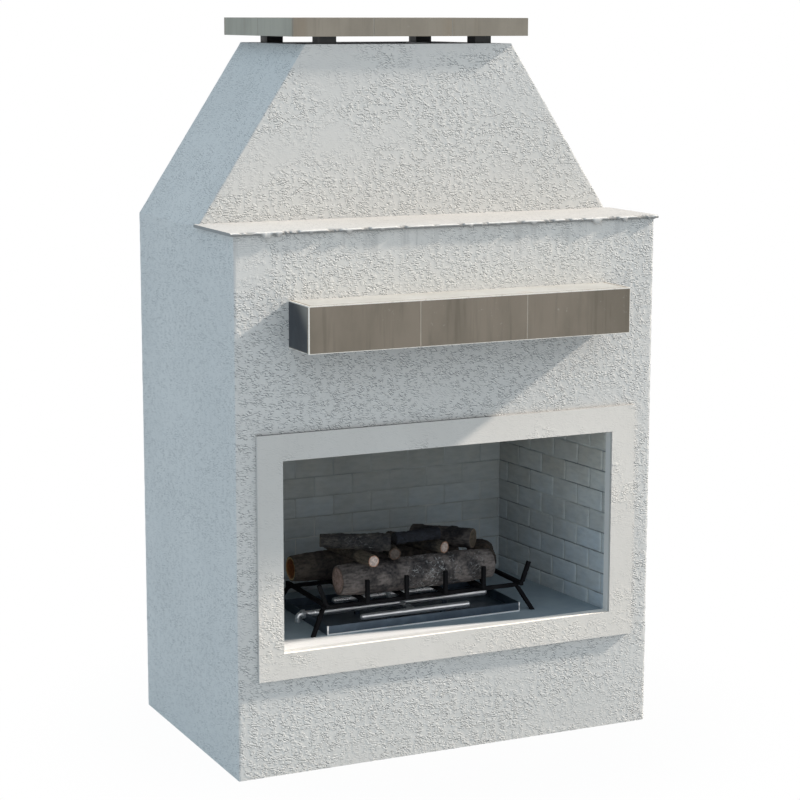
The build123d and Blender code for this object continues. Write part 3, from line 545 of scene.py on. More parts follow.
@dataclass(frozen=True)
class Stucco:
    """Sprayed or trowelled stucco, pale and matt, coarse where the mesh says so.

    The last field, if set, is a node and the colour of painted shade on its up-facing faces along its top and
    its right-facing faces along its right edge.
    """

    name: str
    light: Colour
    dull: Colour
    pit: Colour
    grit: float = 1.1 * MM
    plain: float = 0.12
    painted_edge_shade: tuple[str, Colour] | None = None
    # Offset toward the light for the painted emboss: each crease is painted lighter on its lit side and
    # darker on its far side.
    toward_light: ClassVar = (0.8 * MM, -0.4 * MM, 1.2 * MM)

    def creased(self, g: Graph, shift: tuple[float, float, float]) -> Signal:
        """Height of short curled creases, 0 in a crease and 1 between them, from a shifted place."""
        place = g.stretched((0.64, 0.64, 1.42), (0.3, 0.3, 0.0), shift)
        return abs(g.mottle(0.0098, 2.0, 0.62, place) - 0.5).rise(0.0, 0.075)

    def make(self) -> bpy.types.Material:
        """Returns the material: slow mottling, grit, and creases with painted highlight on the side toward
        the light and painted shade on the far side where it is coarse, painted highlight on the ledge's lip
        and painted shade under it and on its ends.
        """
        g = Graph(self.name)
        # Colour of the painted highlights.
        painted_highlight = tuple(min(0.88, value * 1.22) for value in self.light)
        coarse = (g.worn("coarse") + self.plain).limited()
        slow = g.mottle(0.3, 4.0, 0.6).rise(0.3, 0.7)
        grit = g.mottle(0.0045, 2.0, 0.6)
        here = self.creased(g, (0.0, 0.0, 0.0))
        # Painted light: the crease height sampled toward the light minus the height here gives each crease a
        # lit side and a shaded side.
        slope = self.creased(g, self.toward_light) - here
        broken = g.mottle(0.017, 1.0).rise(0.38, 0.56) * coarse
        # low is painted shade on the far side of a crease, high is painted highlight on its lit side.
        low = slope.rise(0.03, 0.26) * broken
        high = slope.rise(-0.03, -0.26) * broken
        drawn = g.mottle(0.03, 3.0, 0.6, g.stretched((1.0, 1.0, 0.09)))
        streak = drawn.rise(0.5, 0.66) * g.worn("streak")
        body = g.blend(slow * 0.75 + grit * 0.25, self.light, self.dull)
        colour = g.blend(streak * 0.22, body, self.pit)
        # Painted highlight, then painted shade, from the creases.
        colour = g.blend(high, colour, painted_highlight)
        colour = g.blend(low, colour, self.pit)
        # Painted highlight where the mesh marks the ledge's lip; then painted shade where it marks the
        # ledge's underside and its ends, and darker chipped bites.
        colour = g.blend(g.worn("lip"), colour, painted_highlight)
        colour = g.blend(g.worn("chip"), colour, self.pit)
        # Painted shade: darkens the node's up-facing faces near its top and its right-facing faces near its
        # right edge.
        if self.painted_edge_shade:
            node, soiled_and_shaded = self.painted_edge_shade
            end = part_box(node)[1]
            x, _, z = g.axes()
            right, _, up = g.axes(g.node("ShaderNodeNewGeometry", {}, {}, "Normal"))
            over = z.rise(end.z - 2 * MM, end.z - MM) * up.rise(0.4, 0.6)
            beside = x.rise(end.x - 2 * MM, end.x - MM) * right.rise(0.4, 0.6)
            colour = g.blend(over.most(beside), colour, soiled_and_shaded)
        g.relief(here * broken * 0.45 + grit * 0.12, self.grit)
        return g.finish(colour, 0.92, specular_ior_level=0.25)


@dataclass(frozen=True)
class Tile:
    """Honed porcelain tile with upright streaks and cloudy stains.

    The last field, if set, is a node and the colour of a painted reflection towards which its upper front
    corner pales.
    """

    name: str
    body: Colour
    cloud: Colour
    vein: Colour
    rough: float = 0.45
    veins: float = 0.35
    painted_reflection: tuple[str, Colour] | None = None

    def make(self) -> bpy.types.Material:
        """Returns the material: clouds drawn out downwards, upright streaks, fine pores."""
        g = Graph(self.name)
        clouds = g.mottle(0.12, 4.0, 0.55, g.stretched((1.0, 1.0, 0.4))).rise(0.35, 0.68)
        streak = g.mottle(0.016, 3.0, 0.6, g.stretched((1.0, 1.0, 0.06))).rise(0.5, 0.72)
        band = g.mottle(0.075, 2.0, 0.5, g.stretched((1.0, 1.0, 0.02))).rise(0.62, 0.72)
        stain = g.mottle(0.014, 3.0, 0.6).rise(0.6, 0.75) * g.mottle(0.08, 2.0).rise(0.5, 0.62)
        pores = g.mottle(0.0022, 2.0, 0.7)
        colour = g.blend((clouds * 0.8 + streak * 0.5).limited(), self.body, self.cloud)
        brown = tuple(c * k for c, k in zip(self.body, (0.80, 0.66, 0.52)))
        colour = g.blend(band * 0.25, colour, brown)
        colour = g.blend(stain * self.veins, colour, self.vein)
        # Painted reflection: the node's upper front corner pales towards the given colour.
        if self.painted_reflection:
            node, pale = self.painted_reflection
            low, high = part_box(node)
            _, y, z = g.axes()
            size = high - low
            level = z - y * (size.z / size.y)
            top = high.z - low.y * size.z / size.y
            colour = g.blend(level.rise(top - 0.8 * size.z, top) * 0.8, colour, pale)
        g.relief(pores, 0.25 * MM, 0.35)
        return g.finish(colour, clouds * 0.12 + self.rough, specular_ior_level=0.4)


@dataclass(frozen=True)
class Trim:
    """The tiles' factory edge: white along the box's edges, tile-coloured beyond.

    right_share and foot_share are the white line's widths at the right and at the foot, as shares.
    """

    name: str
    edge: Colour
    tile: Colour
    node: str
    width: float = 3.6 * MM
    blur: float = 0.4 * MM
    right_share: float = 1 / 2.0
    foot_share: float = 1 / 2.4

    def make(self) -> bpy.types.Material:
        """Returns the material, white where a point is near two faces of the node's box."""
        g = Graph(self.name)
        low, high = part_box(self.node)
        x, y, z = g.axes()
        side = (x - low.x).least((high.x - x) * (1 / self.right_share))
        face = y - low.y
        rise = ((z - low.z) * (1 / self.foot_share)).least(high.z - z)
        second = side.least(face).most(side.most(face).least(rise))
        worn = g.mottle(0.012, 3.0, 0.6)
        ragged = second + (worn * 2.0 * MM - 1.0 * MM)
        away = ragged.rise(self.width - self.blur, self.width + self.blur)
        soiled_and_shaded = g.blend(worn.rise(0.5, 0.75) * 0.3, self.edge, self.tile)
        return g.finish(g.blend(away, soiled_and_shaded, self.tile), 0.45, specular_ior_level=0.4)


@dataclass(frozen=True)
class Firebrick:
    """Moulded refractory brick, with a tone for each brick and mortar between."""

    name: str
    cool: Colour
    warm: Colour
    mortar: Colour
    shade: Colour
    heights: tuple[float, float]

    def make(self) -> bpy.types.Material:
        """Returns the material, which reads each brick's tone, rim, joints and the painted shade of the level
        joints from its mesh.
        """
        g = Graph(self.name)
        tone, joint, bed, rim = (g.worn(name) for name in ("tone", "joint", "bed", "rim"))
        _, y, z = g.axes()
        stain = g.mottle(0.05, 4.0, 0.62).rise(0.3, 0.72)
        drag = g.mottle(0.02, 4.0, 0.6, g.stretched((0.5, 0.5, 1.6))).rise(0.35, 0.7)
        pores = g.mottle(0.004, 3.0, 0.7)
        warmth = z.rise(*self.heights) * 0.62 + tone * 0.2 + stain * 0.2
        body = g.blend(warmth.limited(), self.cool, self.warm)
        body = g.blend((drag * 0.3 + tone * 0.4).limited() * 0.6, body, self.shade)
        body = g.blend(rim * stain * 0.25, body, self.mortar)
        faded = g.mottle(0.13, 2.0).rise(0.36, 0.6)
        # Joints: painted shade on the level joints, below the bricks' lower edges, and darker in random
        # stretches.
        gap = g.blend((bed * (faded * 0.8 + 0.15) + faded * 0.35).limited(), self.mortar, self.shade)
        cloud = g.mottle(0.2, 3.0).rise(0.46, 0.7)
        # Soot in clouds, plus painted shade that deepens towards the back of the firebox, and darkening
        # towards its top.
        soot_and_shade = cloud * 0.16 + y.rise(0.05, 0.24) * 0.2 + z.rise(0.62, 0.86) * 0.1
        colour = g.blend(soot_and_shade, g.blend(joint, body, gap), self.shade)
        g.relief(pores * 0.4 + drag * 0.6, 1.2 * MM, 0.6)
        return g.finish(colour, 0.93, specular_ior_level=0.2)


@dataclass(frozen=True)
class Metal:
    """Sheet, tube or bar: bare, galvanised or painted."""

    name: str
    base: Colour
    mark: Colour
    rough: float
    metallic: float = 1.0
    brushed: tuple[float, float, float] = (1.0, 1.0, 1.0)
    marks: float = 0.4
    grain: float = 0.02
    gloss: float = 0.5

    def make(self) -> bpy.types.Material:
        """Returns the material: brushed or blotchy tone, marks and uneven gloss."""
        g = Graph(self.name)
        drawn = g.mottle(self.grain, 4.0, 0.6, g.stretched(self.brushed))
        blotch = g.mottle(0.045, 3.0, 0.6).rise(0.4, 0.7)
        marked = drawn.rise(0.3, 0.7) * 0.5 * self.marks + blotch * self.marks
        colour = g.blend(marked, self.base, self.mark)
        g.relief(drawn, 0.15 * MM, 0.35)
        g.feed(g.shader.inputs["Metallic"], self.metallic)
        rough = drawn * 0.16 + blotch * 0.08 + (self.rough - 0.1)
        return g.finish(colour, rough, specular_ior_level=self.gloss)


@dataclass(frozen=True)
class BlueSheet:
    """Blued steel sheet, folded, with painted highlights as pale hems along its front corners and its front
    fold.
    """

    name: str
    base: Colour
    sheen: Colour
    hem_highlight: Colour
    node: str
    width: float = 2.8 * MM

    def make(self) -> bpy.types.Material:
        """Returns the material, with the painted hem highlights placed by the frame's own box."""
        g = Graph(self.name)
        low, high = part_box(self.node)
        x, y, z = g.axes()
        drawn = g.mottle(0.02, 4.0, 0.6, g.stretched((0.15, 1.0, 1.0)))
        blotch = g.mottle(0.06, 3.0, 0.6).rise(0.4, 0.7)
        width, blurred = self.width, 1.4 * self.width
        front = y.rise(low.y + 2 * width, low.y + width)
        fold = z.rise(low.z + blurred, low.z + width)
        left = x.rise(low.x + blurred, low.x + width)
        right = x.rise(high.x - blurred, high.x - width)
        # Painted highlight along the front fold and the front corners.
        hem_highlight = ((fold + left + right).limited() * front) * drawn.rise(0.2, 0.45)
        colour = g.blend(hem_highlight, g.blend(blotch * 0.7, self.base, self.sheen), self.hem_highlight)
        return g.finish(colour, drawn * 0.2 + 0.28, metallic=0.6)


@dataclass(frozen=True)
class Stone:
    """Cement board, cast slab or raw timber, matt, with streaks and pores."""

    name: str
    light: Colour
    dark: Colour
    drawn: tuple[float, float, float] = (1.0, 1.0, 1.0)
    size: float = 0.06

    def make(self) -> bpy.types.Material:
        """Returns the material."""
        g = Graph(self.name)
        streak = g.mottle(self.size, 5.0, 0.62, g.stretched(self.drawn)).rise(0.3, 0.7)
        pores = g.mottle(0.003, 2.0, 0.6)
        colour = g.blend(streak * 0.75 + pores * 0.25, self.light, self.dark)
        g.relief(pores * 0.5 + streak * 0.5, 0.8 * MM, 0.5)
        return g.finish(colour, 0.88, specular_ior_level=0.3)


@dataclass(frozen=True)
class SunlitSlab:
    """The hearth: a bare grey slab, with painted sunlight in a pale wedge along its front whose painted
    shadow edge follows the right jamb's cast shadow.
    """

    name: str
    front: Colour
    light: Colour
    dark: Colour
    shadow_slant: float = 0.122
    right: float = 0.485
    blur: float = 9 * MM

    def make(self) -> bpy.types.Material:
        """Returns the material, with the painted shadow edge slanting away from the opening's right corner.
        """
        g = Graph(self.name)
        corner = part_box("firebox_surround")[0].y + self.right * self.shadow_slant
        x, y, _ = g.axes()
        pores = g.mottle(0.003, 2.0, 0.6)
        broad = g.mottle(0.09, 4.0, 0.6).rise(0.3, 0.7)
        # Painted light: pale in front of the slanting line of the jamb's shadow, bare slab colour behind it.
        behind = (y + x * self.shadow_slant).rise(corner, corner + self.blur)
        slab = g.blend(broad * 0.8 + pores * 0.2, self.light, self.dark)
        g.relief(pores * 0.5 + broad * 0.5, 0.8 * MM, 0.5)
        return g.finish(g.blend(behind, self.front, slab), 0.8, specular_ior_level=0.25)


@dataclass(frozen=True)
class Bark:
    """Painted ceramic log: bark, pale sawn ends, charring and ash."""

    name: str
    ridge: Colour
    furrow: Colour
    sawn: Colour
    rim: Colour
    char: Colour = (0.009, 0.010, 0.013)
    ash: Colour = (0.62, 0.62, 0.61)

    def make(self) -> bpy.types.Material:
        """Returns the material, which reads depth, end, char and ash from the mesh."""
        g = Graph(self.name)
        marks = ("deep", "cut", "edge", "char", "ash", "pale")
        deep, cut, edge, char, ash, pale = (g.worn(name) for name in marks)
        fine = g.mottle(0.007, 4.0, 0.65)
        broad = g.mottle(0.04, 3.0, 0.6).rise(0.35, 0.65)
        sunk = (deep * 0.5 + fine.rise(0.3, 0.7) * 0.3 + broad * 0.3).limited()
        bark = g.blend(sunk, self.ridge, self.furrow)
        rings = g.mottle(0.007, 3.0).rise(0.35, 0.65) * 0.7
        sawn = g.blend(rings, self.sawn, tuple(c * 0.35 for c in self.sawn))
        sawn = g.blend(edge, sawn, self.rim)
        sawn = g.blend(pale, tuple(c * 0.5 for c in self.furrow), sawn)
        colour = g.blend(cut, bark, sawn)
        burnt = (char * 0.8 + fine.rise(0.4, 0.7) * char * 0.5).limited()
        colour = g.blend(burnt, colour, self.char)
        lines = g.cracked(0.011).rise(0.02, 0.10, 1.0, 0.0) * fine.rise(0.42, 0.6)
        flecks = g.mottle(0.006, 2.0).rise(0.62, 0.7)
        colour = g.blend(((lines + flecks * 0.6) * ash).limited(), colour, self.ash)
        g.relief(fine * 0.7 + deep * 0.3, 1.6 * MM, 0.8)
        return g.finish(colour, 0.85 - burnt * 0.2, specular_ior_level=0.16)


class Look(Enum):
    """The finishes of this fireplace, by the part that wears them."""

    STUCCO = Stucco("stucco_rough", (0.725, 0.71, 0.68), (0.67, 0.66, 0.635), (0.16, 0.165, 0.17))
    # The band's last value paints shade on its top and right faces.
    BAND = Stucco("stucco_smooth", (0.675, 0.655, 0.62), (0.63, 0.61, 0.575), (0.2, 0.2, 0.19),
                  0.9 * MM, 0.06, ("firebox_surround", (0.21, 0.205, 0.2)))
    # The return into the opening: a lighter copy of the band's stucco, painted light on the shaded jambs.
    RETURN = Stucco("stucco_return_painted_light", (0.87, 0.86, 0.83), (0.83, 0.82, 0.79), (0.4, 0.39, 0.37),
                    0.6 * MM, 0.05)
    LEDGE = Stucco("stucco_ledge", (0.695, 0.672, 0.64), (0.635, 0.61, 0.58), (0.14, 0.14, 0.135),
                   0.8 * MM, 0.1)
    MANTEL = Tile("tile_mantel", (0.232, 0.193, 0.149), (0.158, 0.133, 0.100), (0.42, 0.40, 0.36),
                  0.45, 0.5)
    # The mantel's end tiles: a darker copy of the mantel tile, painted shade for the end that faces away from
    # the light, with a painted reflection at its upper front corner.
    MANTEL_END = Tile("tile_mantel_end_shaded", (0.040, 0.048, 0.058), (0.026, 0.032, 0.040), (0.2, 0.2, 0.19),
                      0.35, painted_reflection=("mantel_end_tiles", (0.27, 0.255, 0.22)))
    # The mantel's top: a cream copy of the mantel tile, painted light for its sunlit top.
    MANTEL_TOP = Tile("tile_mantel_top_lit", (0.65, 0.635, 0.595), (0.58, 0.56, 0.515), (0.5, 0.46, 0.40),
                      0.5, 0.2)
    TRIM = Trim("edge_trim", (0.86, 0.81, 0.74), (0.20, 0.168, 0.13), "mantel_edge_trim")
    CAP = Tile("tile_cap", (0.292, 0.258, 0.208), (0.232, 0.204, 0.164), (0.42, 0.39, 0.35), 0.5, 0.2)
    # The cap's end tiles: a lighter copy of the cap tile, painted light on the end that faces away from the
    # sun.
    CAP_END = Tile("tile_cap_end_lit", (0.345, 0.332, 0.272), (0.285, 0.276, 0.228), (0.42, 0.41, 0.37), 0.5, 0.2)
    GROUT = Stone("tile_grout", (0.50, 0.43, 0.35), (0.41, 0.36, 0.30))
    CAP_GROUT = Stone("cap_grout", (0.34, 0.31, 0.265), (0.29, 0.265, 0.225))
    CAP_CORE = Stone("cap_core", (0.50, 0.49, 0.46), (0.36, 0.35, 0.33))
    POST = Metal("post_black", (0.022, 0.022, 0.022), (0.06, 0.06, 0.058), 0.5, 0.0, (1.0, 1.0, 0.2))
    BRICK = Firebrick("firebrick", (0.50, 0.575, 0.63), (0.71, 0.68, 0.58), (0.62, 0.64, 0.61),
                      (0.20, 0.21, 0.215), (0.42, 0.80))
    # The hearth's first colour is painted sunlight in front of the jamb's shadow.
    HEARTH = SunlitSlab("hearth_slab_painted_sun", (0.63, 0.64, 0.65), (0.30, 0.36, 0.40), (0.24, 0.30, 0.345))
    BOARD = Stone("board_cement", (0.42, 0.42, 0.405), (0.33, 0.33, 0.32), (1.0, 1.0, 0.3))
    TIMBER = Stone("core_timber", (0.42, 0.27, 0.14), (0.27, 0.16, 0.08), (0.08, 1.0, 1.0), 0.012)
    STUDS = Metal("frame_tube", (0.46, 0.48, 0.49), (0.34, 0.36, 0.38), 0.42, marks=0.8, grain=0.012)
    SHEET = Metal("galvanised_sheet", (0.42, 0.43, 0.44), (0.30, 0.31, 0.33), 0.4, marks=0.8)
    PAN = BlueSheet("pan_sheet", (0.050, 0.072, 0.100), (0.09, 0.125, 0.165), (0.92, 0.93, 0.94),
                    "burner_pan")
    PIPE = Metal("burner_tube", (0.86, 0.88, 0.90), (0.62, 0.64, 0.66), 0.3, 0.75, (0.1, 1.0, 1.0))
    BLACK_PIPE = Metal("pipe_blacked", (0.030, 0.030, 0.032), (0.07, 0.07, 0.07), 0.45, 0.0)
    BRASS = Metal("brass_body", (0.72, 0.53, 0.25), (0.45, 0.31, 0.13), 0.28, brushed=(1.0, 1.0, 0.3))
    LEVER = Metal("lever_enamel", (0.78, 0.48, 0.03), (0.55, 0.32, 0.03), 0.32, 0.0, marks=0.25)
    GRATE = Metal("iron_blacked", (0.006, 0.006, 0.007), (0.013, 0.013, 0.014), 0.75, 0.0,
                  marks=0.7, grain=0.008, gloss=0.04)
    DOOR = Metal("door_enamel", (0.62, 0.62, 0.60), (0.52, 0.52, 0.50), 0.45, 0.0, (1.0, 1.0, 0.3), 0.35)
    PIN = Metal("plain_steel", (0.56, 0.57, 0.58), (0.36, 0.37, 0.38), 0.35, 1.0, (1.0, 1.0, 0.2), 0.5)

    def make(self) -> bpy.types.Material:
        """Returns the finish's material, made once."""
        known = bpy.data.materials.get(self.value.name)
        return known or self.value.make()


# The frame's own sizes


def vertices(node: str) -> Array:
    """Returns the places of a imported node's corners, one a row."""
    mesh = bpy.data.objects[node].data
    flat = np.empty(len(mesh.vertices) * 3, np.float32)
    mesh.vertices.foreach_get("co", flat)
    return flat.reshape(-1, 3).astype(float)


def hole_in(node: str, face: float | None = None) -> tuple[float, float, float, float]:
    """Edges of the one hole in an upright plate.

    Args:
        node: The plate's name.
        face: Depth of the face where the hole is read, or None for any.

    Returns:
        Left, right, bottom and top of the hole.
    """
    corners = vertices(node)
    if face is not None:
        corners = corners[np.abs(corners[:, 1] - face) < 0.1 * MM]
    low, high = corners.min(0) + MM, corners.max(0) - MM
    inside = corners[((corners > low) & (corners < high))[:, [0, 2]].all(1)]
    return inside[:, 0].min(), inside[:, 0].max(), inside[:, 2].min(), inside[:, 2].max()


@dataclass(frozen=True)
class Rod:
    """A straight round bar of the frame, with its radius at places along it."""

    start: Array
    axis: Array
    length: float
    places: Array
    radii: Array
    RING_CORNERS: ClassVar[int] = 24

    @classmethod
    def fitted(cls, corners: Array) -> "Rod":
        """Fits a bar to its corners, with its start at the front or at the left."""
        middle = corners.mean(0)
        axis = np.linalg.svd(corners - middle)[2][0]
        leading = 1 if abs(axis[1]) > abs(axis[0]) else 0
        axis = axis * np.sign(axis[leading])
        along = (corners - middle) @ axis
        out = np.linalg.norm(corners - middle - along[:, None] * axis, axis=1)
        low, high = along.min(), along.max()
        rings, ring, count = np.unique(np.round(along, 4), return_inverse=True, return_counts=True)
        whole = np.flatnonzero(count >= cls.RING_CORNERS)
        places = rings[whole]
        radii = np.array([out[ring == number].max() for number in whole])
        return cls(middle + low * axis, axis, high - low, places - low, radii)


def solids(node: str) -> list[Array]:
    """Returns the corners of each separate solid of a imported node, from left to right."""
    mesh = bpy.data.objects[node].data
    corners, same = np.unique(np.round(vertices(node), 5), axis=0, return_inverse=True)
    same = same.reshape(-1)
    group = np.arange(len(corners))
    edges = np.array([same[list(edge.vertices)] for edge in mesh.edges])
    while True:
        least = np.minimum(group[edges[:, 0]], group[edges[:, 1]])
        following = group.copy()
        np.minimum.at(following, edges[:, 0], least)
        np.minimum.at(following, edges[:, 1], least)
        following = following[following]
        if (following == group).all():
            break
        group = following
    found = [corners[group == number] for number in np.unique(group)]
    return sorted(found, key=lambda solid: solid[:, 0].mean())


def rods(node: str) -> list[Rod]:
    """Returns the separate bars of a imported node, from left to right."""
    return sorted((Rod.fitted(solid) for solid in solids(node)), key=lambda rod: rod.start[0])


# Stucco skins


@dataclass(frozen=True)
class Wall:
    """The plane of a skin's face: a point on it, its direction across and its direction up."""

    origin: tuple[float, float, float]
    across: tuple[float, float, float]
    up: tuple[float, float, float]

    @property
    def outward(self) -> Array:
        """Direction out of the wall."""
        return np.cross(self.across, self.up)

    def place(self, across: Array, up: Array, out: Array | float = 0.0) -> Array:
        """Returns points from their places across, up and out of the wall."""
        out = np.broadcast_to(out, across.shape)
        return (
            np.array(self.origin)
            + across[:, None] * np.array(self.across)
            + up[:, None] * np.array(self.up)
            + out[:, None] * self.outward
        )


@dataclass
class Skin:
    """One wall's coat: a closed slab whose outer face has the trowel's and the sprayer's relief.

    rows holds the outline from bottom to top as (height, left, right). hole is (left, right, bottom,
    top). turns holds the outward directions of the walls round the left and right corners, if any.
    zones are (across, up, half width, half height, change of roughness), least is the roughness of
    the smooth patches and strength scales it all.
    """

    node: str
    wall: Wall
    rows: tuple[tuple[float, float, float], ...]
    step: float
    depth: float
    seed: int
    look: Look = Look.STUCCO
    slot: str = "stucco"
    thickness: float = 12 * MM
    hole: tuple[float, float, float, float] | None = None
    turns: tuple = (None, None)
    corner: float = 3 * MM
    coarse: float = 0.55
    zones: tuple[tuple[float, float, float, float, float], ...] = ()
    streaked: float = 0.0
    least: float = 0.3
    strength: float = 1.0
    patch: float = 0.19
    dab: tuple[float, float, float] = (17 * MM, 9 * MM, 1.0)
    dab_turn: float = math.radians(18)
    wave: float = 0.16
    bevel: float = 0.7 * MM
    bent: float = 0.9 * MM
    bend: float = 30 * MM
    streak_drop: tuple[float, float] = (0.11, 0.03)

    def outline(self) -> tuple[Array, Array, Array, Array]:
        """Returns across, up and distance from the side edges of the points, and which faces stay."""
        heights = [row[0] for row in self.rows]
        breaks = sorted({*heights, *(self.hole[2:] if self.hole else ())})
        v = divided(breaks, self.step)
        left = np.interp(v, heights, [row[1] for row in self.rows])
        right = np.interp(v, heights, [row[2] for row in self.rows])
        low, high = self.rows[0][1:]
        stops = [low, *(self.hole[:2] if self.hole else ()), high]
        u = divided(stops, self.step)
        share = (u - low) / (high - low)
        across = left[:, None] + share[None, :] * (right - left)[:, None]
        up = np.repeat(v[:, None], len(u), 1)
        kept = np.ones((len(v) - 1, len(u) - 1), bool)
        if self.hole:
            mid_u, mid_v = (u[1:] + u[:-1]) / 2, (v[1:] + v[:-1]) / 2
            inside_u = (mid_u > self.hole[0]) & (mid_u < self.hole[1])
            inside_v = (mid_v > self.hole[2]) & (mid_v < self.hole[3])
            kept = ~(inside_v[:, None] & inside_u[None, :])
        edge = np.minimum(across - left[:, None], right[:, None] - across)
        return across.reshape(-1), up.reshape(-1), edge.reshape(-1), kept

    def roughness(self, across: Array, up: Array) -> Array:
        """How coarse each point is, from 0 to 1, by patches and by the zones listed."""
        noise = Grain(self.seed + 3).layers(points_of(across, up * 1.6), self.patch, 3, 0.6)
        patches = smooth(-0.3, 0.26, noise + (self.coarse - 0.5))
        total = self.least + (1 - self.least) * patches
        for middle, level, reach, rise, change in self.zones:
            away = np.hypot((across - middle) / reach, (up - level) / rise)
            total = total + change * (1 - smooth(0.45, 1.0, away))
        return np.clip(total, 0, 1) * self.strength

    def sink(self, across: Array, up: Array, rough: Array) -> Array:
        """How far each point of the face lies behind the highest lumps."""
        grain = Grain(self.seed)
        cos, sin = math.cos(self.dab_turn), math.sin(self.dab_turn)
        dabs = grain.layers(points_of(across * cos + up * sin, up * cos - across * sin), self.dab, 2, 0.6)
        lump = smooth(0.02, 0.4, dabs)
        pit = smooth(0.12, 0.45, -dabs)
        wave = grain.at(points_of(across, up), self.wave)
        return self.depth * (0.5 + 0.12 * wave + (0.2 * pit - 0.22 * lump) * rough)

    def build(self) -> bpy.types.Object:
        """Makes the skin.

        Returns:
            The piece that stands for the node.
        """
        across, up, edge, kept = self.outline()
        columns = kept.shape[1] + 1
        faces = grid_faces(kept.shape[0] + 1, columns, kept)
        used = np.unique(faces)
        number = np.full(len(across), -1)
        number[used] = np.arange(len(used))
        faces = number[faces]
        across, up, edge = across[used], up[used], edge[used]
        column = used % columns
        near_left = column < columns / 2
        rough = self.roughness(across, up)
        depth = self.sink(across, up, rough)
        points = self.wall.place(across, up)
        shift = np.zeros_like(points)
        inset = np.zeros(len(points))
        bend = Grain(self.seed + 5).at(points, self.bend) * 0.5 + 0.5
        for side, turn in enumerate(self.turns):
            mine = near_left if side == 0 else ~near_left
            if turn is None:
                continue
            share = np.clip(1 - edge / self.corner, 0, 1) * mine
            depth *= 1 - share
            amount = (self.bevel * share**2 + self.bent * bend * share)[:, None]
            shift -= amount * (np.array(turn) + self.wall.outward)
            inset += np.where(mine & (edge < 1e-7), self.thickness * (1 if side == 0 else -1), 0)
        front = points + shift - depth[:, None] * self.wall.outward
        loops, twins, made = backed(faces, len(front))
        rear = list(twins)
        behind = self.wall.place(across[rear] + inset[rear], up[rear], -self.thickness)
        made += self.rear_faces(loops, across, up, twins)
        start, full = (self.rows[-1][0] - drop for drop in self.streak_drop)
        streak = self.streaked * smooth(start, full, up)
        coarse, streak = (np.append(values, np.zeros(len(behind))) for values in (rough, streak))
        draft = Draft()
        draft.add(np.concatenate([front, behind]), made, coarse=coarse, streak=streak)
        return settle(draft.piece(f"{self.node}_coat"), self.look.make(), self.slot, self.node)

    def rear_faces(self, loops: list, across: Array, up: Array, number: dict) -> list[list[int]]:
        """Faces that close the slab behind.

        Args:
            loops: The rim's runs, the outer one first.
            across: Places across of the points.
            up: Places up of the points.
            number: The rear point of each rim point.

        Returns:
            One face, or two where there is a hole.
        """
        if len(loops) == 1:
            return [[number[c] for c in reversed(loops[0])]]
        outer, inner = loops
        middle = (self.hole[0] + self.hole[1]) / 2

        def nearest(loop: list, top: bool) -> int:
            """Index in a loop of the point nearest to the hole's middle, above or below it."""
            level = max(up[loop]) if top else min(up[loop])
            level = level if loop is inner else (self.rows[-1][0] if top else self.rows[0][0])
            off = np.abs(across[loop] - middle) + 9 * np.abs(up[loop] - level)
            return int(np.argmin(off))

        def run(loop: list, start: int, stop: int) -> list:
            """The loop's points from one index to another, both kept."""
            length = (stop - start) % len(loop)
            return [loop[(start + k) % len(loop)] for k in range(length + 1)]

        out_top, out_foot, in_top, in_foot = (nearest(loop, top) for loop in loops for top in (True, False))
        one = run(outer, out_foot, out_top) + run(inner, in_top, in_foot)
        two = run(outer, out_top, out_foot) + run(inner, in_foot, in_top)
        return [[number[c] for c in reversed(face)] for face in (one, two)]


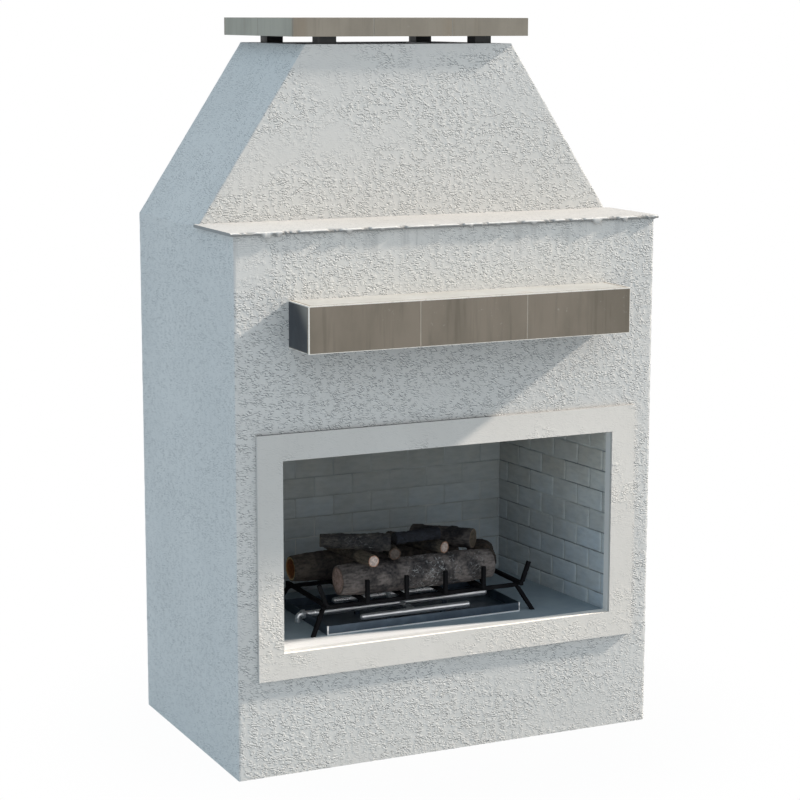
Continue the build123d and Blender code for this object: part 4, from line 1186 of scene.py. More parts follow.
@dataclass
class Casing:
    """The stucco body: base, shoulder and hood, with its sizes read from the frame."""

    fine_step: float = 3.9 * MM
    side_step: float = 5.0 * MM
    back_step: float = 6.2 * MM
    relief: float = 0.9 * MM
    FAINT: ClassVar = {"coarse": 0.6, "least": 0.45, "strength": 0.5}
    FRONT_ZONES: ClassVar = (
        (-0.44, 1.12, 0.24, 0.36, 0.45), (0.0, 1.05, 0.52, 0.07, 0.5), (0.5, 1.3, 0.2, 0.1, 0.35),
        (0.0, 1.39, 0.8, 0.05, -0.45), (-0.585, 1.33, 0.1, 0.085, -0.8),
        (-0.2, 0.14, 0.4, 0.12, 0.25), (-0.52, 0.07, 0.16, 0.1, 0.5),
    )
    HOOD_ZONES: ClassVar = (
        (0.0, 1.46, 0.8, 0.075, 0.65), (-0.24, 1.61, 0.22, 0.09, -0.45), (0.12, 1.72, 0.2, 0.1, 0.3),
        (-0.2, 1.81, 0.16, 0.08, -0.6), (0.0, 1.885, 0.4, 0.05, -0.4),
    )

    def __post_init__(self) -> None:
        """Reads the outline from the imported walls."""
        low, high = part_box("front_stucco")
        self.half, self.front, self.shoulder = high.x, low.y, high.z
        self.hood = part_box("hood_front_stucco")[0].y
        self.back, self.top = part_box("back_stucco")[1].yz
        crown = vertices("hood_front_stucco")
        self.top_half = crown[crown[:, 2] > self.top - MM][:, 0].max()
        self.hole = hole_in("front_stucco")
        self.door = hole_in("back_stucco")

    def skins(self) -> list[Skin]:
        """Returns the coats of the base and the hood."""
        slope = math.hypot(self.half - self.top_half, self.top - self.shoulder)
        lean, rise = (self.half - self.top_half) / slope, (self.top - self.shoulder) / slope
        left, right, near, far, upright = (-1, 0, 0), (1, 0, 0), (0, -1, 0), (0, 1, 0), (0, 0, 1)
        foot, waist, crown = (
            (0.0, -self.half, self.half),
            (self.shoulder, -self.half, self.half),
            (self.top, -self.top_half, self.top_half),
        )
        door = (-self.door[1], -self.door[0], *self.door[2:])
        skins = [
            Skin("front_stucco", Wall((0, self.front, 0), right, upright), (foot, waist), self.fine_step,
                 self.relief, 11, hole=self.hole, turns=(left, right), zones=self.FRONT_ZONES, streaked=1.0),
            Skin("hood_front_stucco", Wall((0, self.hood, 0), right, upright), (waist, crown), self.fine_step,
                 self.relief, 23, turns=((-rise, 0, lean), (rise, 0, lean)), zones=self.HOOD_ZONES),
            Skin("back_stucco", Wall((0, self.back, 0), left, upright), (foot, waist, crown), self.back_step,
                 self.relief, 47, hole=door, turns=(right, left), **self.FAINT),
        ]
        for side, way, seed in (("left", -1, 31), ("right", 1, 37)):
            turns = (far, near) if way < 0 else (near, far)
            for node, level, lift, length, front in (
                (f"{side}_stucco", 0.0, upright, self.shoulder, self.front),
                (f"hood_{side}_stucco", self.shoulder, (-way * lean, 0, rise), slope, self.hood),
            ):
                reach = sorted((way * front, way * self.back))
                wall = Wall((way * self.half, 0, level), (0, way, 0), lift)
                rows = ((0.0, *reach), (length, *reach))
                skins.append(Skin(node, wall, rows, self.side_step, self.relief, seed + len(skins),
                                  turns=turns, **self.FAINT))
        return skins

    def build(self) -> None:
        """Makes the coats, the ledge and the smooth band."""
        for skin in self.skins():
            skin.build()
        Ledge().build()
        Band().build()


@dataclass
class Ledge:
    """The thin screed on the shoulder, with a torn front edge.

    LUMPS and CHIPS are (place, half width, strength) along the edge, as shares of its half length.
    DEPTHS are the places of the top's rows of points behind the edge, in mm.
    """

    step: float = 2.5 * MM
    seed: int = 59
    fringe: float = 9 * MM
    rounding: float = 2 * MM
    tear: float = 2.5 * MM
    chip: float = 4 * MM
    bite: float = 5.5 * MM
    ripple: float = 0.5 * MM
    hang: float = 9 * MM
    least_hang: float = 0.6 * MM
    end_fade: float = 14 * MM
    DEPTHS: ClassVar = (0.0, 0.9, 2.2, 4.5, 7.0, 10.0, 13.0, 17.0, 22.0, 28.0, 50.0, 90.0, 140.0, 200.0)
    LUMPS: ClassVar = (
        (-0.843, 0.03, 1.0), (-0.79, 0.018, 0.6), (-0.65, 0.012, 0.35), (-0.48, 0.02, 0.6),
        (-0.33, 0.012, 0.3), (0.08, 0.014, 0.4), (0.38, 0.016, 0.5), (0.69, 0.03, 1.0),
        (0.83, 0.018, 0.6), (0.95, 0.02, 0.7),
    )
    CHIPS: ClassVar = (
        (-0.93, 0.05, 0.5), (-0.75, 0.03, 1.0), (-0.71, 0.018, 0.8), (-0.545, 0.04, 1.0),
        (-0.40, 0.028, 0.9), (-0.23, 0.036, 0.8), (-0.08, 0.014, 0.6), (0.035, 0.02, 0.8),
        (0.15, 0.016, 0.7), (0.316, 0.024, 0.9), (0.455, 0.042, 1.0), (0.55, 0.026, 0.9),
        (0.62, 0.014, 0.6), (0.775, 0.036, 1.0), (0.93, 0.05, 0.9),
    )

    def along(self, x: Array, spots: tuple) -> Array:
        """How strongly chosen spots mark places along the ledge, from 0 to 1."""
        away = [1 - smooth(0.3, 1.0, np.abs(x / self.half - place) / width) for place, width, _ in spots]
        return np.max([share * spot[2] for share, spot in zip(away, spots)], axis=0)

    def __post_init__(self) -> None:
        """Reads the slab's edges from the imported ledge."""
        low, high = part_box("shoulder_ledge")
        self.half, self.front, self.back = high.x, low.y, high.y
        self.bottom, self.thickness = low.z, high.z - low.z

    def build(self) -> bpy.types.Object:
        """Makes the screed: a slab whose front edge is chipped back and hangs down in lumps.

        Returns:
            The piece.
        """
        x = divided([-self.half, self.half], self.step)
        grain = Grain(self.seed)
        line = points_of(x, 0.0)
        broad = grain.layers(line, 60 * MM, 2)
        torn = grain.layers(line + 3.1, 17 * MM, 3, 0.6)
        broken = self.along(x, self.CHIPS) * (0.45 + 0.75 * smooth(-0.3, 0.1, grain.at(line + 5.5, 9 * MM)))
        chip = smooth(0.05, 0.4, torn) * (self.tear + 2 * MM * broad) + broken * self.chip
        drip = self.along(x, self.LUMPS) + 0.3 * smooth(0.2, 0.5, grain.layers(line + 9.7, 22 * MM, 2, 0.6))
        drip = np.clip(drip - broken, 0, 1)
        ends = np.clip((self.half - np.abs(x)) / self.end_fade, 0, 1)
        top = self.bottom + self.thickness
        rows, bites, lip_highlights = [], [], []
        for inward in np.array(self.DEPTHS) * MM:
            fade = max(0.0, 1 - inward / self.fringe)
            y = self.front + chip * fade + inward
            level = points_of(x, y)
            wave = self.ripple * grain.at(level, 22 * MM)
            ragged = inward * (1 + 0.5 * grain.at(level, 9 * MM))
            bite = broken * (1 - smooth(self.fringe, 20 * MM, ragged))
            fall = self.rounding * (fade**2 + np.abs(torn) * fade) + bite * self.bite
            z = top - fall + wave * min(1.0, inward / (8 * MM))
            rows.append(points_of(x, y, np.minimum(z, top)))
            bites.append(bite)
            # Painted highlight along the lip, except in the bites.
            lip_highlights.append((1 - smooth(3 * MM, self.fringe, ragged)) * (1 - bite))
        rows.append(points_of(x, self.back, top))
        hang = (drip * self.hang + self.least_hang) * ends
        lip = self.front + chip * 0.8 - 0.5 * MM + (1 - drip) * 1.5 * MM
        under = [
            points_of(x, lip + 0.2 * MM, top - 4.4 * MM - hang * 0.35),
            points_of(x, lip + 0.9 * MM, self.bottom - hang * 0.8),
            points_of(x, lip + 3.0 * MM, self.bottom - hang),
            points_of(x, self.front + self.fringe, self.bottom - hang * 0.5),
            points_of(x, self.front + 16 * MM, self.bottom),
            points_of(x, self.back, self.bottom),
        ]
        section = under[::-1] + rows
        points = np.concatenate(section)
        faces = grid_faces(len(section), len(x)).tolist()
        last = (len(section) - 1) * len(x)
        faces += [[a + last, a + last + 1, a + 1, a] for a in range(len(x) - 1)]
        plain = np.zeros_like(x)
        # Painted shade on the underside below the lip, less under the hanging lumps; darker chipped bites;
        # painted highlight on the lip and on the hanging lumps.
        underside_shade = [shade * (1 - 0.75 * drip) for shade in (0.35, 0.35, 0.85, 0.95, 0.9, 0.7)]
        chipped = np.concatenate([*underside_shade, *bites, plain])
        painted_highlight = np.concatenate([*([plain] * 5), 0.5 * drip, *lip_highlights, plain])
        draft = Draft()
        draft.add(points, faces, coarse=0.12, streak=0.0, chip=chipped * 0.9, lip=painted_highlight)
        # The end faces carry painted shade.
        for column, order in ((0, 1), (len(x) - 1, -1)):
            ring = points[[column + row * len(x) for row in range(len(section))]]
            draft.add(ring, [list(range(len(ring)))[::order]], coarse=0.1, streak=0.0, chip=0.6, lip=0.0)
        made = draft.piece("shoulder_ledge_screed")
        return settle(made, Look.LEDGE.make(), "smooth_stucco", "shoulder_ledge")


@dataclass
class Band:
    """The smooth band round the opening, with its return into it."""

    step: float = 4.5 * MM
    return_step: float = 6 * MM
    relief: float = 0.6 * MM
    ZONES: ClassVar = (
        (-0.53, 0.42, 0.06, 0.2, 0.5), (0.25, 0.29, 0.3, 0.05, 0.55), (0.53, 0.35, 0.05, 0.1, 0.3),
    )

    def __post_init__(self) -> None:
        """Reads the band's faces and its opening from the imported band."""
        low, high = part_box("firebox_surround")
        self.half, self.bottom, self.top = high.x, low.z, high.z
        self.face, self.rear = low.y, high.y
        self.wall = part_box("front_stucco")[0].y
        self.hole = hole_in("firebox_surround", self.face)
        self.sleeve = hole_in("front_stucco")[1] - self.hole[1]

    def build(self) -> None:
        """Makes the flat ring and the sleeve behind it."""
        rows = ((self.bottom, -self.half, self.half), (self.top, -self.half, self.half))
        wall = Wall((0, self.face, 0), (1, 0, 0), (0, 0, 1))
        Skin("firebox_surround", wall, rows, self.step, self.relief, 61, Look.BAND, "smooth_stucco",
             self.wall - self.face, self.hole, coarse=0.2, zones=self.ZONES, least=0.05).build()
        left, right, low, high = self.hole
        t = self.sleeve
        inner = [(left, low), (right, low), (right, high), (left, high)]
        outer = [(left - t, low - t), (right + t, low - t), (right + t, high + t), (left - t, high + t)]
        depths = divided([self.wall, self.rear], self.return_step)
        points = [(x, y, z) for y in depths for x, z in inner + outer]
        last = 8 * (len(depths) - 1)
        faces = []
        for i, j in ((0, 1), (1, 2), (2, 3), (3, 0)):
            for a, b in ((near, near + 8) for near in range(0, last, 8)):
                faces.append([a + i, b + i, b + j, a + j])
                faces.append([a + 4 + j, b + 4 + j, b + 4 + i, a + 4 + i])
            faces.append([i, j, 4 + j, 4 + i])
            faces.append([last + 4 + i, last + 4 + j, last + j, last + i])
        draft = Draft()
        draft.add(np.array(points), faces)
        settle(draft.piece("surround_return", 20), Look.RETURN.make(), "smooth_stucco", "firebox_surround")


# Brick lining


@dataclass
class Lining:
    """The brick panels of the firebox, each brick with its own worn face.

    proud is how far the bricks stand out of their mortar. LENGTH_SHARES and HEIGHT_SHARES are the
    places of a brick's points along it and up it.
    """

    course: float = 57.8 * MM
    length: float = 118 * MM
    joint: float = 3 * MM
    proud: float = 1.6 * MM
    tuck: float = 6 * MM
    back_joint: float = 18.8 * MM
    side_joint: float = 15 * MM
    brick_depth: float = 2.5 * MM
    arris: float = 1.3 * MM
    arris_width: float = 2.4 * MM
    wander: float = 0.8 * MM
    swell: float = 0.35 * MM
    chip: float = 0.8 * MM
    joint_wave: float = 0.3 * MM
    LENGTH_SHARES: ClassVar = (0.0, 0.012, 0.04, *np.linspace(0.1, 0.9, 9), 0.96, 0.988, 1.0)
    HEIGHT_SHARES: ClassVar = (0.0, 0.03, 0.09, *np.linspace(0.2, 0.8, 4), 0.91, 0.97, 1.0)

    def __post_init__(self) -> None:
        """Reads the firebox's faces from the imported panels."""
        low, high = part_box("back_brick_panel")
        self.bottom, self.top, self.back = low.z, high.z, low.y
        self.panel = high.y - low.y
        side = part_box("left_brick_panel")
        self.front, self.far = side[0].y, -side[1].x
        self.half = hole_in("firebox_surround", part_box("firebox_surround")[0].y)[1]
        self.splay = math.atan((self.half - self.far) / (self.back - self.front))

    def levels(self) -> list[float]:
        """Returns the heights of the courses' edges."""
        count = int((self.top - self.bottom) / self.course)
        return [self.bottom, *(self.bottom + self.course * (k + 1) for k in range(count)), self.top]

    def brick(
        self, draft: Draft, wall: Wall, span: tuple[float, float], rise: tuple[float, float], seed: int
    ) -> None:
        """Adds one brick: a pillow with a worn rim.

        Args:
            draft: The panel's draft.
            wall: The plane of the brick faces.
            span: The brick's ends across.
            rise: Its bottom and top.
            seed: The brick's own seed.
        """
        shares = np.meshgrid(self.LENGTH_SHARES, self.HEIGHT_SHARES)
        share_u, share_v = (share.reshape(-1) for share in shares)
        across = span[0] + share_u * (span[1] - span[0])
        up = rise[0] + share_v * (rise[1] - rise[0])
        grain = Grain(seed)
        flat = points_of(across, up)
        rim = np.min([across - span[0], span[1] - across, up - rise[0], rise[1] - up], axis=0)
        chipped = smooth(0.25, 0.5, grain.at(flat + 4.0, 19 * MM)) * (1 - smooth(1 * MM, 8 * MM, rim))
        out = self.swell * grain.layers(flat, 30 * MM, 3) - self.chip * chipped
        out -= self.arris * (1 - smooth(0.0, self.arris_width, rim))
        inner = (share_u > 0) & (share_u < 1)
        wander = self.wander * grain.at(flat, 26 * MM) * inner
        points = wall.place(across, up + wander, np.minimum(out, 0.0))
        _, twins, faces = backed(grid_faces(len(self.HEIGHT_SHARES), len(self.LENGTH_SHARES)), len(points))
        behind = points[list(twins)] - self.brick_depth * wall.outward
        faces.append([*twins.values()][::-1])
        tone = float(grain.triple(np.array([[3, 1, 2]]))[0, 0])
        worn = np.append(1 - smooth(1 * MM, 9 * MM, rim), np.ones(len(behind)))
        draft.add(np.concatenate([points, behind]), faces, tone=tone, joint=0.0, bed=0.0, rim=worn)

    def mortar(self, draft: Draft, wall: Wall, span: tuple[float, float], dark: float) -> None:
        """Adds the slab behind the bricks, with a slightly uneven joint face.

        Args:
            draft: The panel's draft.
            wall: The plane of the brick faces.
            span: The panel's ends across.
            dark: How much painted shade darkens its level joints against the upright ones.
        """
        near = [level + step * MM for level in self.levels()[1:-1] for step in (-7, -3, 3, 7)]
        lines = divided([self.bottom, *near, self.top], 14 * MM)
        across, up = np.meshgrid(divided(list(span), 12 * MM), lines)
        sheet = grid_faces(*across.shape)
        across, up = across.reshape(-1), up.reshape(-1)
        out = -self.proud + self.joint_wave * Grain(97).at(points_of(across, up), 24 * MM)
        points = wall.place(across, up, out)
        _, twins, faces = backed(sheet, len(points))
        rear = list(twins)
        behind = wall.place(across[rear], up[rear], -self.panel)
        faces.append([*twins.values()][::-1])
        # Painted shade along the level joints, below the bricks' lower edges.
        away = np.abs(up[:, None] - np.array(self.levels())[None, :]).min(1)
        bed = np.append(dark * (1 - smooth(4 * MM, 6 * MM, away)), np.zeros(len(behind)))
        draft.add(np.concatenate([points, behind]), faces, tone=0.5, joint=1.0, bed=bed, rim=0.0)

    def panel_piece(
        self, name: str, node: str, wall: Wall, span: tuple[float, float], first: list, seed: int, dark: float
    ) -> None:
        """Makes one panel.

        Args:
            name: The piece's name.
            node: The node that it stands for.
            wall: The plane of the brick faces.
            span: The panel's ends across.
            first: Where the upright joints of even and of odd courses start, across.
            seed: The panel's seed.
            dark: How much painted shade darkens its level joints.
        """
        draft = Draft()
        self.mortar(draft, wall, span, dark)
        gap = self.joint / 2
        for index, (low, high) in enumerate(zip(self.levels(), self.levels()[1:])):
            if high - low < 3 * self.joint:
                continue
            start = first[index % 2]
            start += math.ceil((span[0] - start) / self.length) * self.length
            joints = np.arange(start, span[1], self.length)
            joints = joints[(joints - span[0] > self.joint) & (span[1] - joints > self.joint)]
            ends = [span[0] - gap, *joints, span[1] + gap]
            for order, (a, b) in enumerate(zip(ends, ends[1:])):
                rise = (low + (gap if index else 0.0), high - gap)
                self.brick(draft, wall, (a + gap, b - gap), rise, seed + 31 * index + order)
        settle(draft.piece(name, 60), Look.BRICK.make(), "brick", node)

    def build(self) -> None:
        """Makes the back, left and right panels."""
        reach = min(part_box("back_brick_panel")[1].x, self.far + self.tuck)
        plane = Wall((0, self.back, 0), (1, 0, 0), (0, 0, 1))
        half_course = self.length / 2
        self.panel_piece(
            "back_brick_lining", "back_brick_panel", plane, (-reach, reach),
            [self.back_joint, self.back_joint + half_course], 1000, 0.25,
        )
        sin, cos = math.sin(self.splay), math.cos(self.splay)
        length = (self.back - self.front) / cos
        starts = [(self.side_joint + half_course) / cos, self.side_joint / cos]
        for side, way, seed in (("right", -1, 3000), ("left", 1, 5000)):
            wall = Wall((-way * self.half, self.front, 0), (sin, way * cos, 0), (0, 0, 1))
            span = tuple(sorted((0.0, way * length)))
            first = [way * start for start in starts]
            self.panel_piece(f"{side}_brick_lining", f"{side}_brick_panel", wall, span, first, seed, 0.6)


# Logs


@dataclass(frozen=True)
class Timber:
    """How one log looks: the depth and length of its bark, and how it has burnt.

    char and ash are (from, to, strength) along the log, as shares of its length from its front or
    left end. hollow is how far its sawn ends are dished, and knots how uneven its thickness is.
    CAP gives the rings near an end, in mm from it and as shares of the radius, and SAWN the rings
    of a sawn end, as shares of its rim.
    """

    seed: int
    ridge: float = 1.6 * MM
    wave: float = 42 * MM
    char: tuple[tuple[float, float, float], ...] = ()
    ash: tuple[tuple[float, float, float], ...] = ()
    hollow: float = 0.0
    pale: float = 1.0
    knots: float = 0.03
    around: int = 72
    step: float = 3.2 * MM
    cap_depth: float = 4 * MM
    saw_marks: float = 0.9 * MM
    CAP: ClassVar = ((0.0, 0.93), (0.4, 0.972), (1.6, 0.99))
    SAWN: ClassVar = (1.0, 0.94, 0.8, 0.62, 0.42, 0.22, 0.06)

    def add_to(self, draft: Draft, rod: Rod) -> None:
        """Adds the log's mesh, with bark, rounded ends and marks.

        Args:
            draft: The node's draft.
            rod: The log's bar in the frame.
        """
        axis, length, thick = Vector(rod.axis), rod.length, rod.radii.max()
        side = axis.cross(Vector((0, 0, 1))).normalized()
        over = side.cross(axis)
        grain = Grain(self.seed)
        inner = divided([self.cap_depth, length - self.cap_depth], self.step)
        caps, drops = np.array(self.CAP).T
        caps = caps * MM
        places = np.concatenate([caps, inner, length - caps[::-1]])
        round_off = np.concatenate([drops, np.ones(len(inner)), drops[::-1]])
        angles = np.linspace(0, 2 * math.pi, self.around, endpoint=False)
        along, angle = (part.reshape(-1) for part in np.meshgrid(places, angles, indexing="ij"))
        base = np.interp(along, rod.places, rod.radii)
        ring = points_of(np.cos(angle) * thick, np.sin(angle) * thick, along)
        swell = grain.layers(ring, (0.06, 0.06, 0.09), 2)
        rows = np.abs(grain.layers(ring, (9 * MM, 9 * MM, self.wave), 3, 0.6))
        furrow = 1 - smooth(0.02, 0.2, rows)
        cross = 1 - smooth(0.0, 0.1, grain.cracks(ring, (20 * MM, 20 * MM, 30 * MM)))
        burnt = self.spread(self.char, along / length, grain.layers(ring + 2.0, 0.045, 3))
        ashen = self.spread(self.ash, along / length, grain.layers(ring + 5.0, 0.03, 3))
        deep = np.clip(furrow * 0.8 + cross * 0.5 * (1 + burnt), 0, 1)
        bump = smooth(0.15, 0.6, grain.at(ring + 8.0, (0.035, 0.035, 0.028)))
        radius = base * (1 - self.knots * (0.5 - swell - bump)) - self.ridge * deep
        radius *= np.repeat(round_off, self.around)
        out = np.cos(angle)[:, None] * np.array(side) + np.sin(angle)[:, None] * np.array(over)
        points = rod.start + along[:, None] * np.array(axis) + radius[:, None] * out
        faces = ring_faces(len(places), self.around)
        crazed = 1 - smooth(0.0, 0.16, grain.cracks(ring + 1.0, (13 * MM, 13 * MM, 16 * MM)))
        ash = np.clip(ashen * (0.25 + crazed), 0, 1)
        draft.add(points, faces, deep=deep, cut=0.0, edge=0.0, char=burnt, ash=ash, pale=self.pale)
        self.add_end(draft, points[: self.around][::-1], -1.0, axis, grain)
        self.add_end(draft, points[-self.around :], 1.0, axis, grain)

    @staticmethod
    def spread(marks: tuple, place: Array, noise: Array) -> Array:
        """How strongly each point is marked, with uneven borders."""
        total = np.zeros(len(place))
        for low, high, strength in marks:
            inside = smooth(low - 0.06, low + 0.05, place) * (1 - smooth(high - 0.05, high + 0.06, place))
            total = np.maximum(total, strength * inside * smooth(-0.28, 0.12, noise))
        return np.clip(total, 0, 1)

    def add_end(self, draft: Draft, rim: Array, way: float, axis: Vector, grain: Grain) -> None:
        """Adds a sawn end, inside a rim of points.

        Args:
            draft: The log's draft.
            rim: The last ring's points, counter-clockwise from outside.
            way: 1 at the log's end and -1 at its start.
            axis: The log's direction.
            grain: The log's noise.
        """
        middle, count = rim.mean(0), len(rim)
        share = np.repeat(self.SAWN, count)
        rings = middle + np.tile(rim - middle, (len(self.SAWN), 1)) * share[:, None]
        saw = self.saw_marks * grain.layers(rings, 14 * MM, 2) * np.minimum(1.0, (1 - share) * 6)
        dish = self.hollow * smooth(0.0, 0.75, 1 - share)
        rings += way * (saw - dish)[:, None] * np.array(axis)
        points = np.concatenate([rings, [middle - way * self.hollow * np.array(axis)]])
        cut = np.append(np.where(share < 1, 1.0, 0.6), 1.0)
        edge = np.append(smooth(0.78, 0.95, share), 0.0)
        last = len(rings) - count
        faces = ring_faces(len(self.SAWN), count)
        faces += [[last + i, last + (i + 1) % count, len(rings)] for i in range(count)]
        draft.add(points, faces, deep=0.0, cut=cut, edge=edge, char=0.0, ash=0.0, pale=self.pale)


WARM = Bark("bark_warm", srgb(122, 114, 110), srgb(56, 53, 52), srgb(172, 148, 138), srgb(104, 88, 80))
OCHRE = Bark("bark_ochre", srgb(98, 90, 82), srgb(48, 44, 42), srgb(140, 84, 48), srgb(196, 168, 124))
SLATE = Bark("bark_slate", srgb(86, 82, 76), srgb(26, 27, 31), srgb(112, 104, 92), srgb(56, 52, 50))
OLIVE = Bark("bark_olive", srgb(98, 90, 78), srgb(46, 42, 38), srgb(226, 206, 194), srgb(172, 120, 92))
COAL = Bark("bark_coal", srgb(44, 48, 56), srgb(8, 9, 12), srgb(60, 60, 62), srgb(30, 30, 33))
TAN = Bark("bark_tan", srgb(92, 86, 82), srgb(40, 38, 38), srgb(84, 76, 66), srgb(96, 84, 70))
DUSK = Bark("bark_dusk", srgb(92, 80, 70), srgb(42, 38, 36), srgb(92, 64, 48), srgb(110, 84, 64))

LOGS: dict[str, tuple[Bark, tuple[Timber, ...]]] = {
    "front_log": (WARM, (Timber(211, 1.3 * MM, 70 * MM, char=((0.16, 0.9, 0.72),),
                                ash=((0.42, 0.74, 0.75), (0.84, 0.93, 0.6))),)),
    "rear_log": (OCHRE, (Timber(223, wave=55 * MM, char=((0.1, 1.1, 0.6),), hollow=7 * MM),)),
    "upper_left_log": (SLATE, (Timber(227, 2.4 * MM, 22 * MM, char=((0.05, 1.1, 0.75),),
                                      ash=((0.3, 0.75, 0.2),), knots=0.1),)),
    "charcoal_log": (COAL, (Timber(229, 2.0 * MM, 26 * MM, char=((-0.1, 1.1, 0.6),), knots=0.12),)),
    "upper_right_log": (TAN, (Timber(233, 2.0 * MM, char=((0.04, 1.1, 0.9),), knots=0.1),)),
    "right_log": (DUSK, (Timber(239, char=((-0.1, 1.1, 0.7),), hollow=4 * MM, knots=0.08),)),
    "branch_logs": (OLIVE, (
        Timber(241, 1.2 * MM, char=((0.12, 0.7, 0.45),), pale=0.9),
        Timber(251, 1.2 * MM, char=((0.06, 1.1, 0.8),), pale=0.12),
        Timber(257, 1.2 * MM, char=((0.1, 1.1, 0.75),), pale=0.55),
    )),
}


def build_logs() -> None:
    """Makes the ceramic logs, each on the bar of its node."""
    for node, (look, timbers) in LOGS.items():
        draft = Draft()
        for timber, rod in zip(timbers, rods(node), strict=True):
            timber.add_to(draft, rod)
        material = bpy.data.materials.get(look.name) or look.make()
        settle(draft.piece(f"{node}_bark", 70), material, "log_ceramic", node)


# Joints between tiles


@dataclass(frozen=True)
class Grout:
    """The filled joints between the tiles of some nodes."""

    name: str
    look: Look
    nodes: tuple[tuple[str, int, int], ...]
    widest: float = 6 * MM
    recess: float = 0.5 * MM
    uneven: float = 0.25 * MM
    step: float = 6 * MM
    lines: int = 5

    def strip(self, draft: Draft, low: Array, high: Array, gap: int, face: int, way: int, seed: int) -> None:
        """Adds one joint.

        Args:
            draft: The grout's draft.
            low: Lowest corner of the joint's room.
            high: Its highest corner.
            gap: The axis across the joint.
            face: The axis along which it faces out.
            way: 1 or -1, its direction out.
            seed: The joint's seed.
        """
        run = 3 - gap - face
        along = divided([low[run], high[run]], self.step)
        across = np.linspace(low[gap], high[gap], self.lines)
        outer, inner = (high, low) if way > 0 else (low, high)
        grid = np.meshgrid(along, across, indexing="ij")
        places = np.empty((grid[0].size, 3))
        places[:, run], places[:, gap] = (part.reshape(-1) for part in grid)
        places[:, face] = outer[face]
        bow = np.tile(1 - np.linspace(-1, 1, self.lines) ** 2, len(along))
        noise = np.abs(Grain(seed).layers(places, 9 * MM, 2))
        places[:, face] -= way * (self.recess * (0.3 + 0.5 * bow) + self.uneven * noise)
        _, twins, made = backed(grid_faces(len(along), self.lines), len(places))
        behind = places[list(twins)]
        behind[:, face] = inner[face]
        made.append([*twins.values()][::-1])
        turn = np.cross(np.eye(3)[gap], np.eye(3)[run])[face] * way
        made = made if turn > 0 else [quad[::-1] for quad in made]
        draft.add(np.concatenate([places, behind]), made)

    def build(self) -> bpy.types.Object:
        """Finds the rooms between neighbouring tiles and fills them.

        Returns:
            The piece.
        """
        draft = Draft()
        for node, gap, face in self.nodes:
            tiles = [(corners.min(0), corners.max(0)) for corners in solids(node)]
            middle = np.mean([(low + high) / 2 for low, high in tiles], axis=0)[face]
            for low, high in tiles:
                for next_low, next_high in tiles:
                    room = next_low[gap] - high[gap]
                    others = [axis for axis in range(3) if axis != gap]
                    shared = np.minimum(high, next_high) - np.maximum(low, next_low)
                    if not (0 < room < self.widest and (shared[others] > 0).all()):
                        continue
                    start, stop = np.maximum(low, next_low), np.minimum(high, next_high)
                    start[gap], stop[gap] = high[gap], next_low[gap]
                    way = 1 if (start[face] + stop[face]) / 2 > middle + MM or face == 2 else -1
                    self.strip(draft, start, stop, gap, face, way, 400 + len(draft.points))
        return settle(draft.piece(self.name), self.look.make(), "tile")


GROUTS = (
    Grout("mantel_joints", Look.GROUT, (("mantel_front_tiles", 0, 1),)),
    Grout("cap_joints", Look.CAP_GROUT, (("cap_face_tiles", 0, 1), ("cap_end_tiles", 1, 0))),
)


# CAD pieces that keep their own shape


KEPT: dict[Look, tuple[str, ...]] = {
    Look.STUDS: ("base_rails", "corner_studs", "hearth_rails", "shoulder_rails", "lintel_angle", "hood_frame",
                 "mantel_brackets"),
    Look.BOARD: ("front_board", "side_boards", "back_board", "shoulder_board", "hood_front_board",
                 "hood_side_boards"),
    Look.TIMBER: ("mantel_core",),
    Look.MANTEL: ("mantel_front_tiles", "mantel_bottom_tile"),
    Look.MANTEL_END: ("mantel_end_tiles",),
    Look.MANTEL_TOP: ("mantel_top_tile",),
    Look.TRIM: ("mantel_edge_trim",),
    Look.PIN: ("mantel_anchors", "door_hinge_pins"),
    Look.CAP_CORE: ("cap_core",),
    Look.CAP: ("cap_face_tiles", "cap_top_tiles"),
    Look.CAP_END: ("cap_end_tiles",),
    Look.POST: ("cap_posts",),
    Look.SHEET: ("hood_top_plate", "flue_liner", "smoke_chamber", "firebox_shell"),
    Look.HEARTH: ("hearth_panel",),
    Look.PAN: ("burner_pan",),
    Look.PIPE: ("burner_tubes", "gas_inlet", "gas_connector"),
    Look.BLACK_PIPE: ("gas_riser",),
    Look.BRASS: ("shutoff_valve",),
    Look.LEVER: ("shutoff_lever",),
    Look.GRATE: ("log_grate",),
    Look.DOOR: ("door_frame", "rear_door"),
}


def dress_kept(nodes: dict[str, bpy.types.Object]) -> None:
    """Gives each kept CAD piece its finish, on its own material slots.

    Args:
        nodes: The frame's pieces, by the names of their nodes.
    """
    for look, names in KEPT.items():
        material = look.make()
        for name in names:
            piece = nodes[name]
            if not piece.material_slots:
                piece.data.materials.append(material)
            for slot in piece.material_slots:
                slot.material = material
            LOG.info("%s: %s", name, material.name)


# Stage


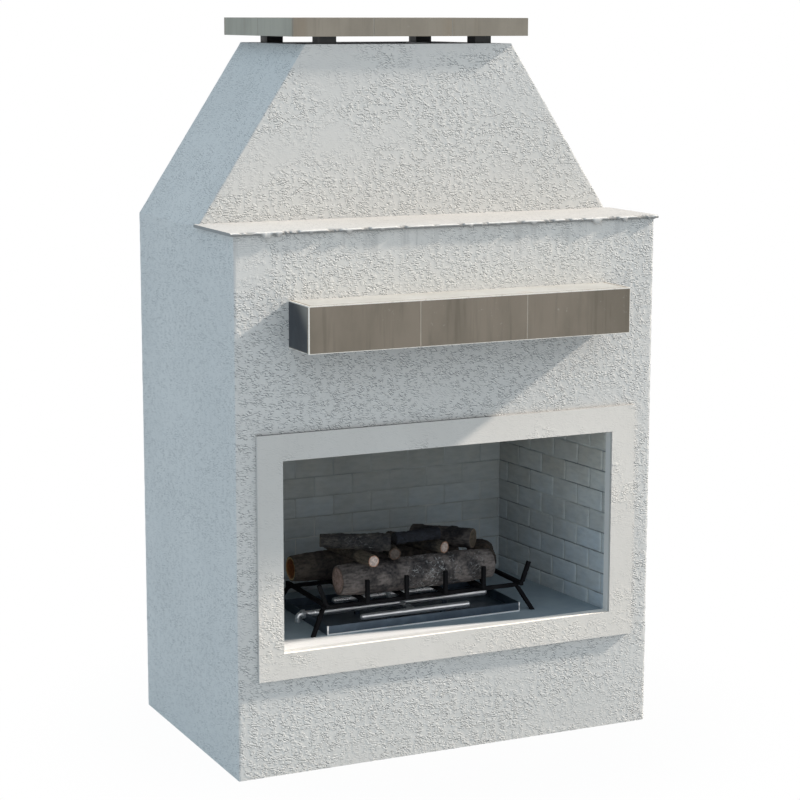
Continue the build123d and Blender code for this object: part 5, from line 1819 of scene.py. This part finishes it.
@dataclass
class Stage:
    """Camera, lamps, sky and floor.

    LAMPS gives each sun's name, strength and pieces, and the last one lights all that are left.
    hidden is how far inside the casing's faces the floor turns dark, and shadow where its shade
    fades out, from and to, with how white it is within.
    """

    eye: tuple[float, float, float] = (-2.5753, -5.4279, 1.9610)
    yaw: float = 25.2847
    down: float = 9.8629
    roll: float = 0.0857
    lens: float = 99.57
    shift: tuple[float, float] = (0.0020, -0.0030)
    beam: tuple[float, float, float] = (-0.839, 0.102, -0.539)
    spread: float = 2.8
    warmth: Colour = (1.0, 0.91, 0.81)
    left_sky: Colour = (0.50, 0.655, 0.79)
    right_sky: Colour = (0.665, 0.68, 0.695)
    front_sky: Colour = (0.765, 0.81, 0.843)
    hidden: float = 4 * MM
    floor_reach: float = 14.0
    shadow: tuple[float, float, float] = (0.55, 1.2, 0.965)
    LAMPS: ClassVar = (
        ("hood_sun", 1.75, ("hood_front_stucco_coat", "mantel_front_tiles", "mantel_joints",
                           "mantel_edge_trim", "cap_face_tiles", "cap_joints")),
        ("front_sun", 2.0, ("front_stucco_coat",)),
        ("band_sun", 3.6, ("firebox_surround_coat",)),
        ("hearth_sun", 2.1, ("hearth_panel",)),
        ("right_sun", 0.5, ("right_stucco_coat", "hood_right_stucco_coat")),
        ("plain_sun", 1.05, ()),
    )

    def camera(self) -> None:
        """Places the camera where the photograph was taken from."""
        data = bpy.data.cameras.new("photo_camera")
        data.lens = self.lens
        data.sensor_width = 36.0
        data.shift_x, data.shift_y = self.shift
        data.clip_end = 60.0
        made = bpy.data.objects.new("photo_camera", data)
        yaw, down = math.radians(self.yaw), math.radians(self.down)
        level = math.cos(down)
        forward = Vector((math.sin(yaw) * level, math.cos(yaw) * level, -math.sin(down)))
        aim = forward.to_track_quat("-Z", "Y").to_matrix().to_4x4()
        roll = Matrix.Rotation(math.radians(self.roll), 4, "Z")
        made.matrix_world = Matrix.Translation(self.eye) @ aim @ roll
        bpy.context.scene.collection.objects.link(made)
        bpy.context.scene.camera = made

    def sun(self, name: str, strength: float, receivers: list[bpy.types.Object]) -> None:
        """Adds a sun that lights some pieces.

        Args:
            name: The lamp's name.
            strength: Light that falls on a face turned to it, where 1 shows white as white.
            receivers: The pieces that it lights.
        """
        data = bpy.data.lights.new(name, "SUN")
        data.energy = strength * math.pi
        data.angle = math.radians(self.spread)
        data.color = self.warmth
        made = bpy.data.objects.new(name, data)
        made.matrix_world = Vector(self.beam).to_track_quat("-Z", "Y").to_matrix().to_4x4()
        bpy.context.scene.collection.objects.link(made)
        group = bpy.data.collections.new(f"{name}_receivers")
        for piece in receivers:
            group.objects.link(piece)
        made.light_linking.receiver_collection = group

    def world(self) -> None:
        """Blue-grey sky from the left, paler in front, and white to the camera."""
        world = bpy.data.worlds.new("sky")
        tree = Tree(world, "ShaderNodeOutputWorld")
        x, y, _ = tree.axes(tree.node("ShaderNodeTexCoord", {}, {}, "Generated"))
        colour = tree.blend(x.rise(0.4, -0.5), self.right_sky, self.left_sky)
        colour = tree.blend(y.rise(-0.3, -0.95), colour, self.front_sky)
        sky = tree.node("ShaderNodeBackground", {}, {"Color": colour, "Strength": 1.0})
        white = tree.node("ShaderNodeBackground", {}, {"Color": (1.0, 1.0, 1.0), "Strength": 1.0})
        tree.feed(tree.end.inputs[0], tree.mix(tree.seen(), sky, white))
        bpy.context.scene.world = world

    def floor(self) -> bpy.types.Object:
        """Adds the pale floor, white to the camera with a soft shadow, but dark inside the casing."""
        corners = np.array([(-1, -1, 0), (1, -1, 0), (1, 1, 0), (-1, 1, 0)]) * self.floor_reach
        draft = Draft()
        draft.add(corners, [[0, 1, 2, 3]])
        made = draft.piece("studio_floor")
        g = Graph("studio_floor")
        g.finish((0.88, 0.88, 0.88), 0.95, specular_ior_level=0.0)
        away = g.node("ShaderNodeVectorMath", {"operation": "LENGTH"}, {0: g.place()}, "Value")
        glow = g.node("ShaderNodeEmission", {}, {"Color": (1.0, 1.0, 1.0), "Strength": 1.0})
        front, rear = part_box("front_board"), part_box("back_board")
        x, y, _ = g.axes()
        beside = abs(x).rise(front[1].x - self.hidden, front[1].x)
        middle, reach = (front[0].y + rear[1].y) / 2, (rear[1].y - front[0].y) / 2
        beyond = abs(y - middle).rise(reach - self.hidden, reach)
        near, far, shaded = self.shadow
        share = g.seen() * away.rise(near, far, shaded, 1.0) * beside.most(beyond)
        g.feed(g.end.inputs[0], g.mix(share, Signal(g, g.shader.outputs[0]), glow))
        made.data.materials.append(g.material)
        made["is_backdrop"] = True
        return made

    def build(self) -> None:
        """Sets the camera, the lamps, the sky and the floor, once the pieces are there."""
        self.camera()
        self.world()
        self.floor()
        left = list(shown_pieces())
        for name, strength, names in self.LAMPS:
            lit = [piece for piece in left if piece.name in names or not names]
            left = [piece for piece in left if piece not in lit]
            self.sun(name, strength, lit)
        bpy.context.scene.view_settings.view_transform = "Standard"


def main() -> None:
    """Builds and dresses the fireplace, then the stage."""
    logging.basicConfig(level=logging.INFO, format="%(name)s %(message)s")
    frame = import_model()
    dress_kept(frame["nodes"])
    Casing().build()
    Lining().build()
    build_logs()
    for grout in GROUTS:
        grout.build()
    Stage().build()


if __name__ == "__main__":
    main()
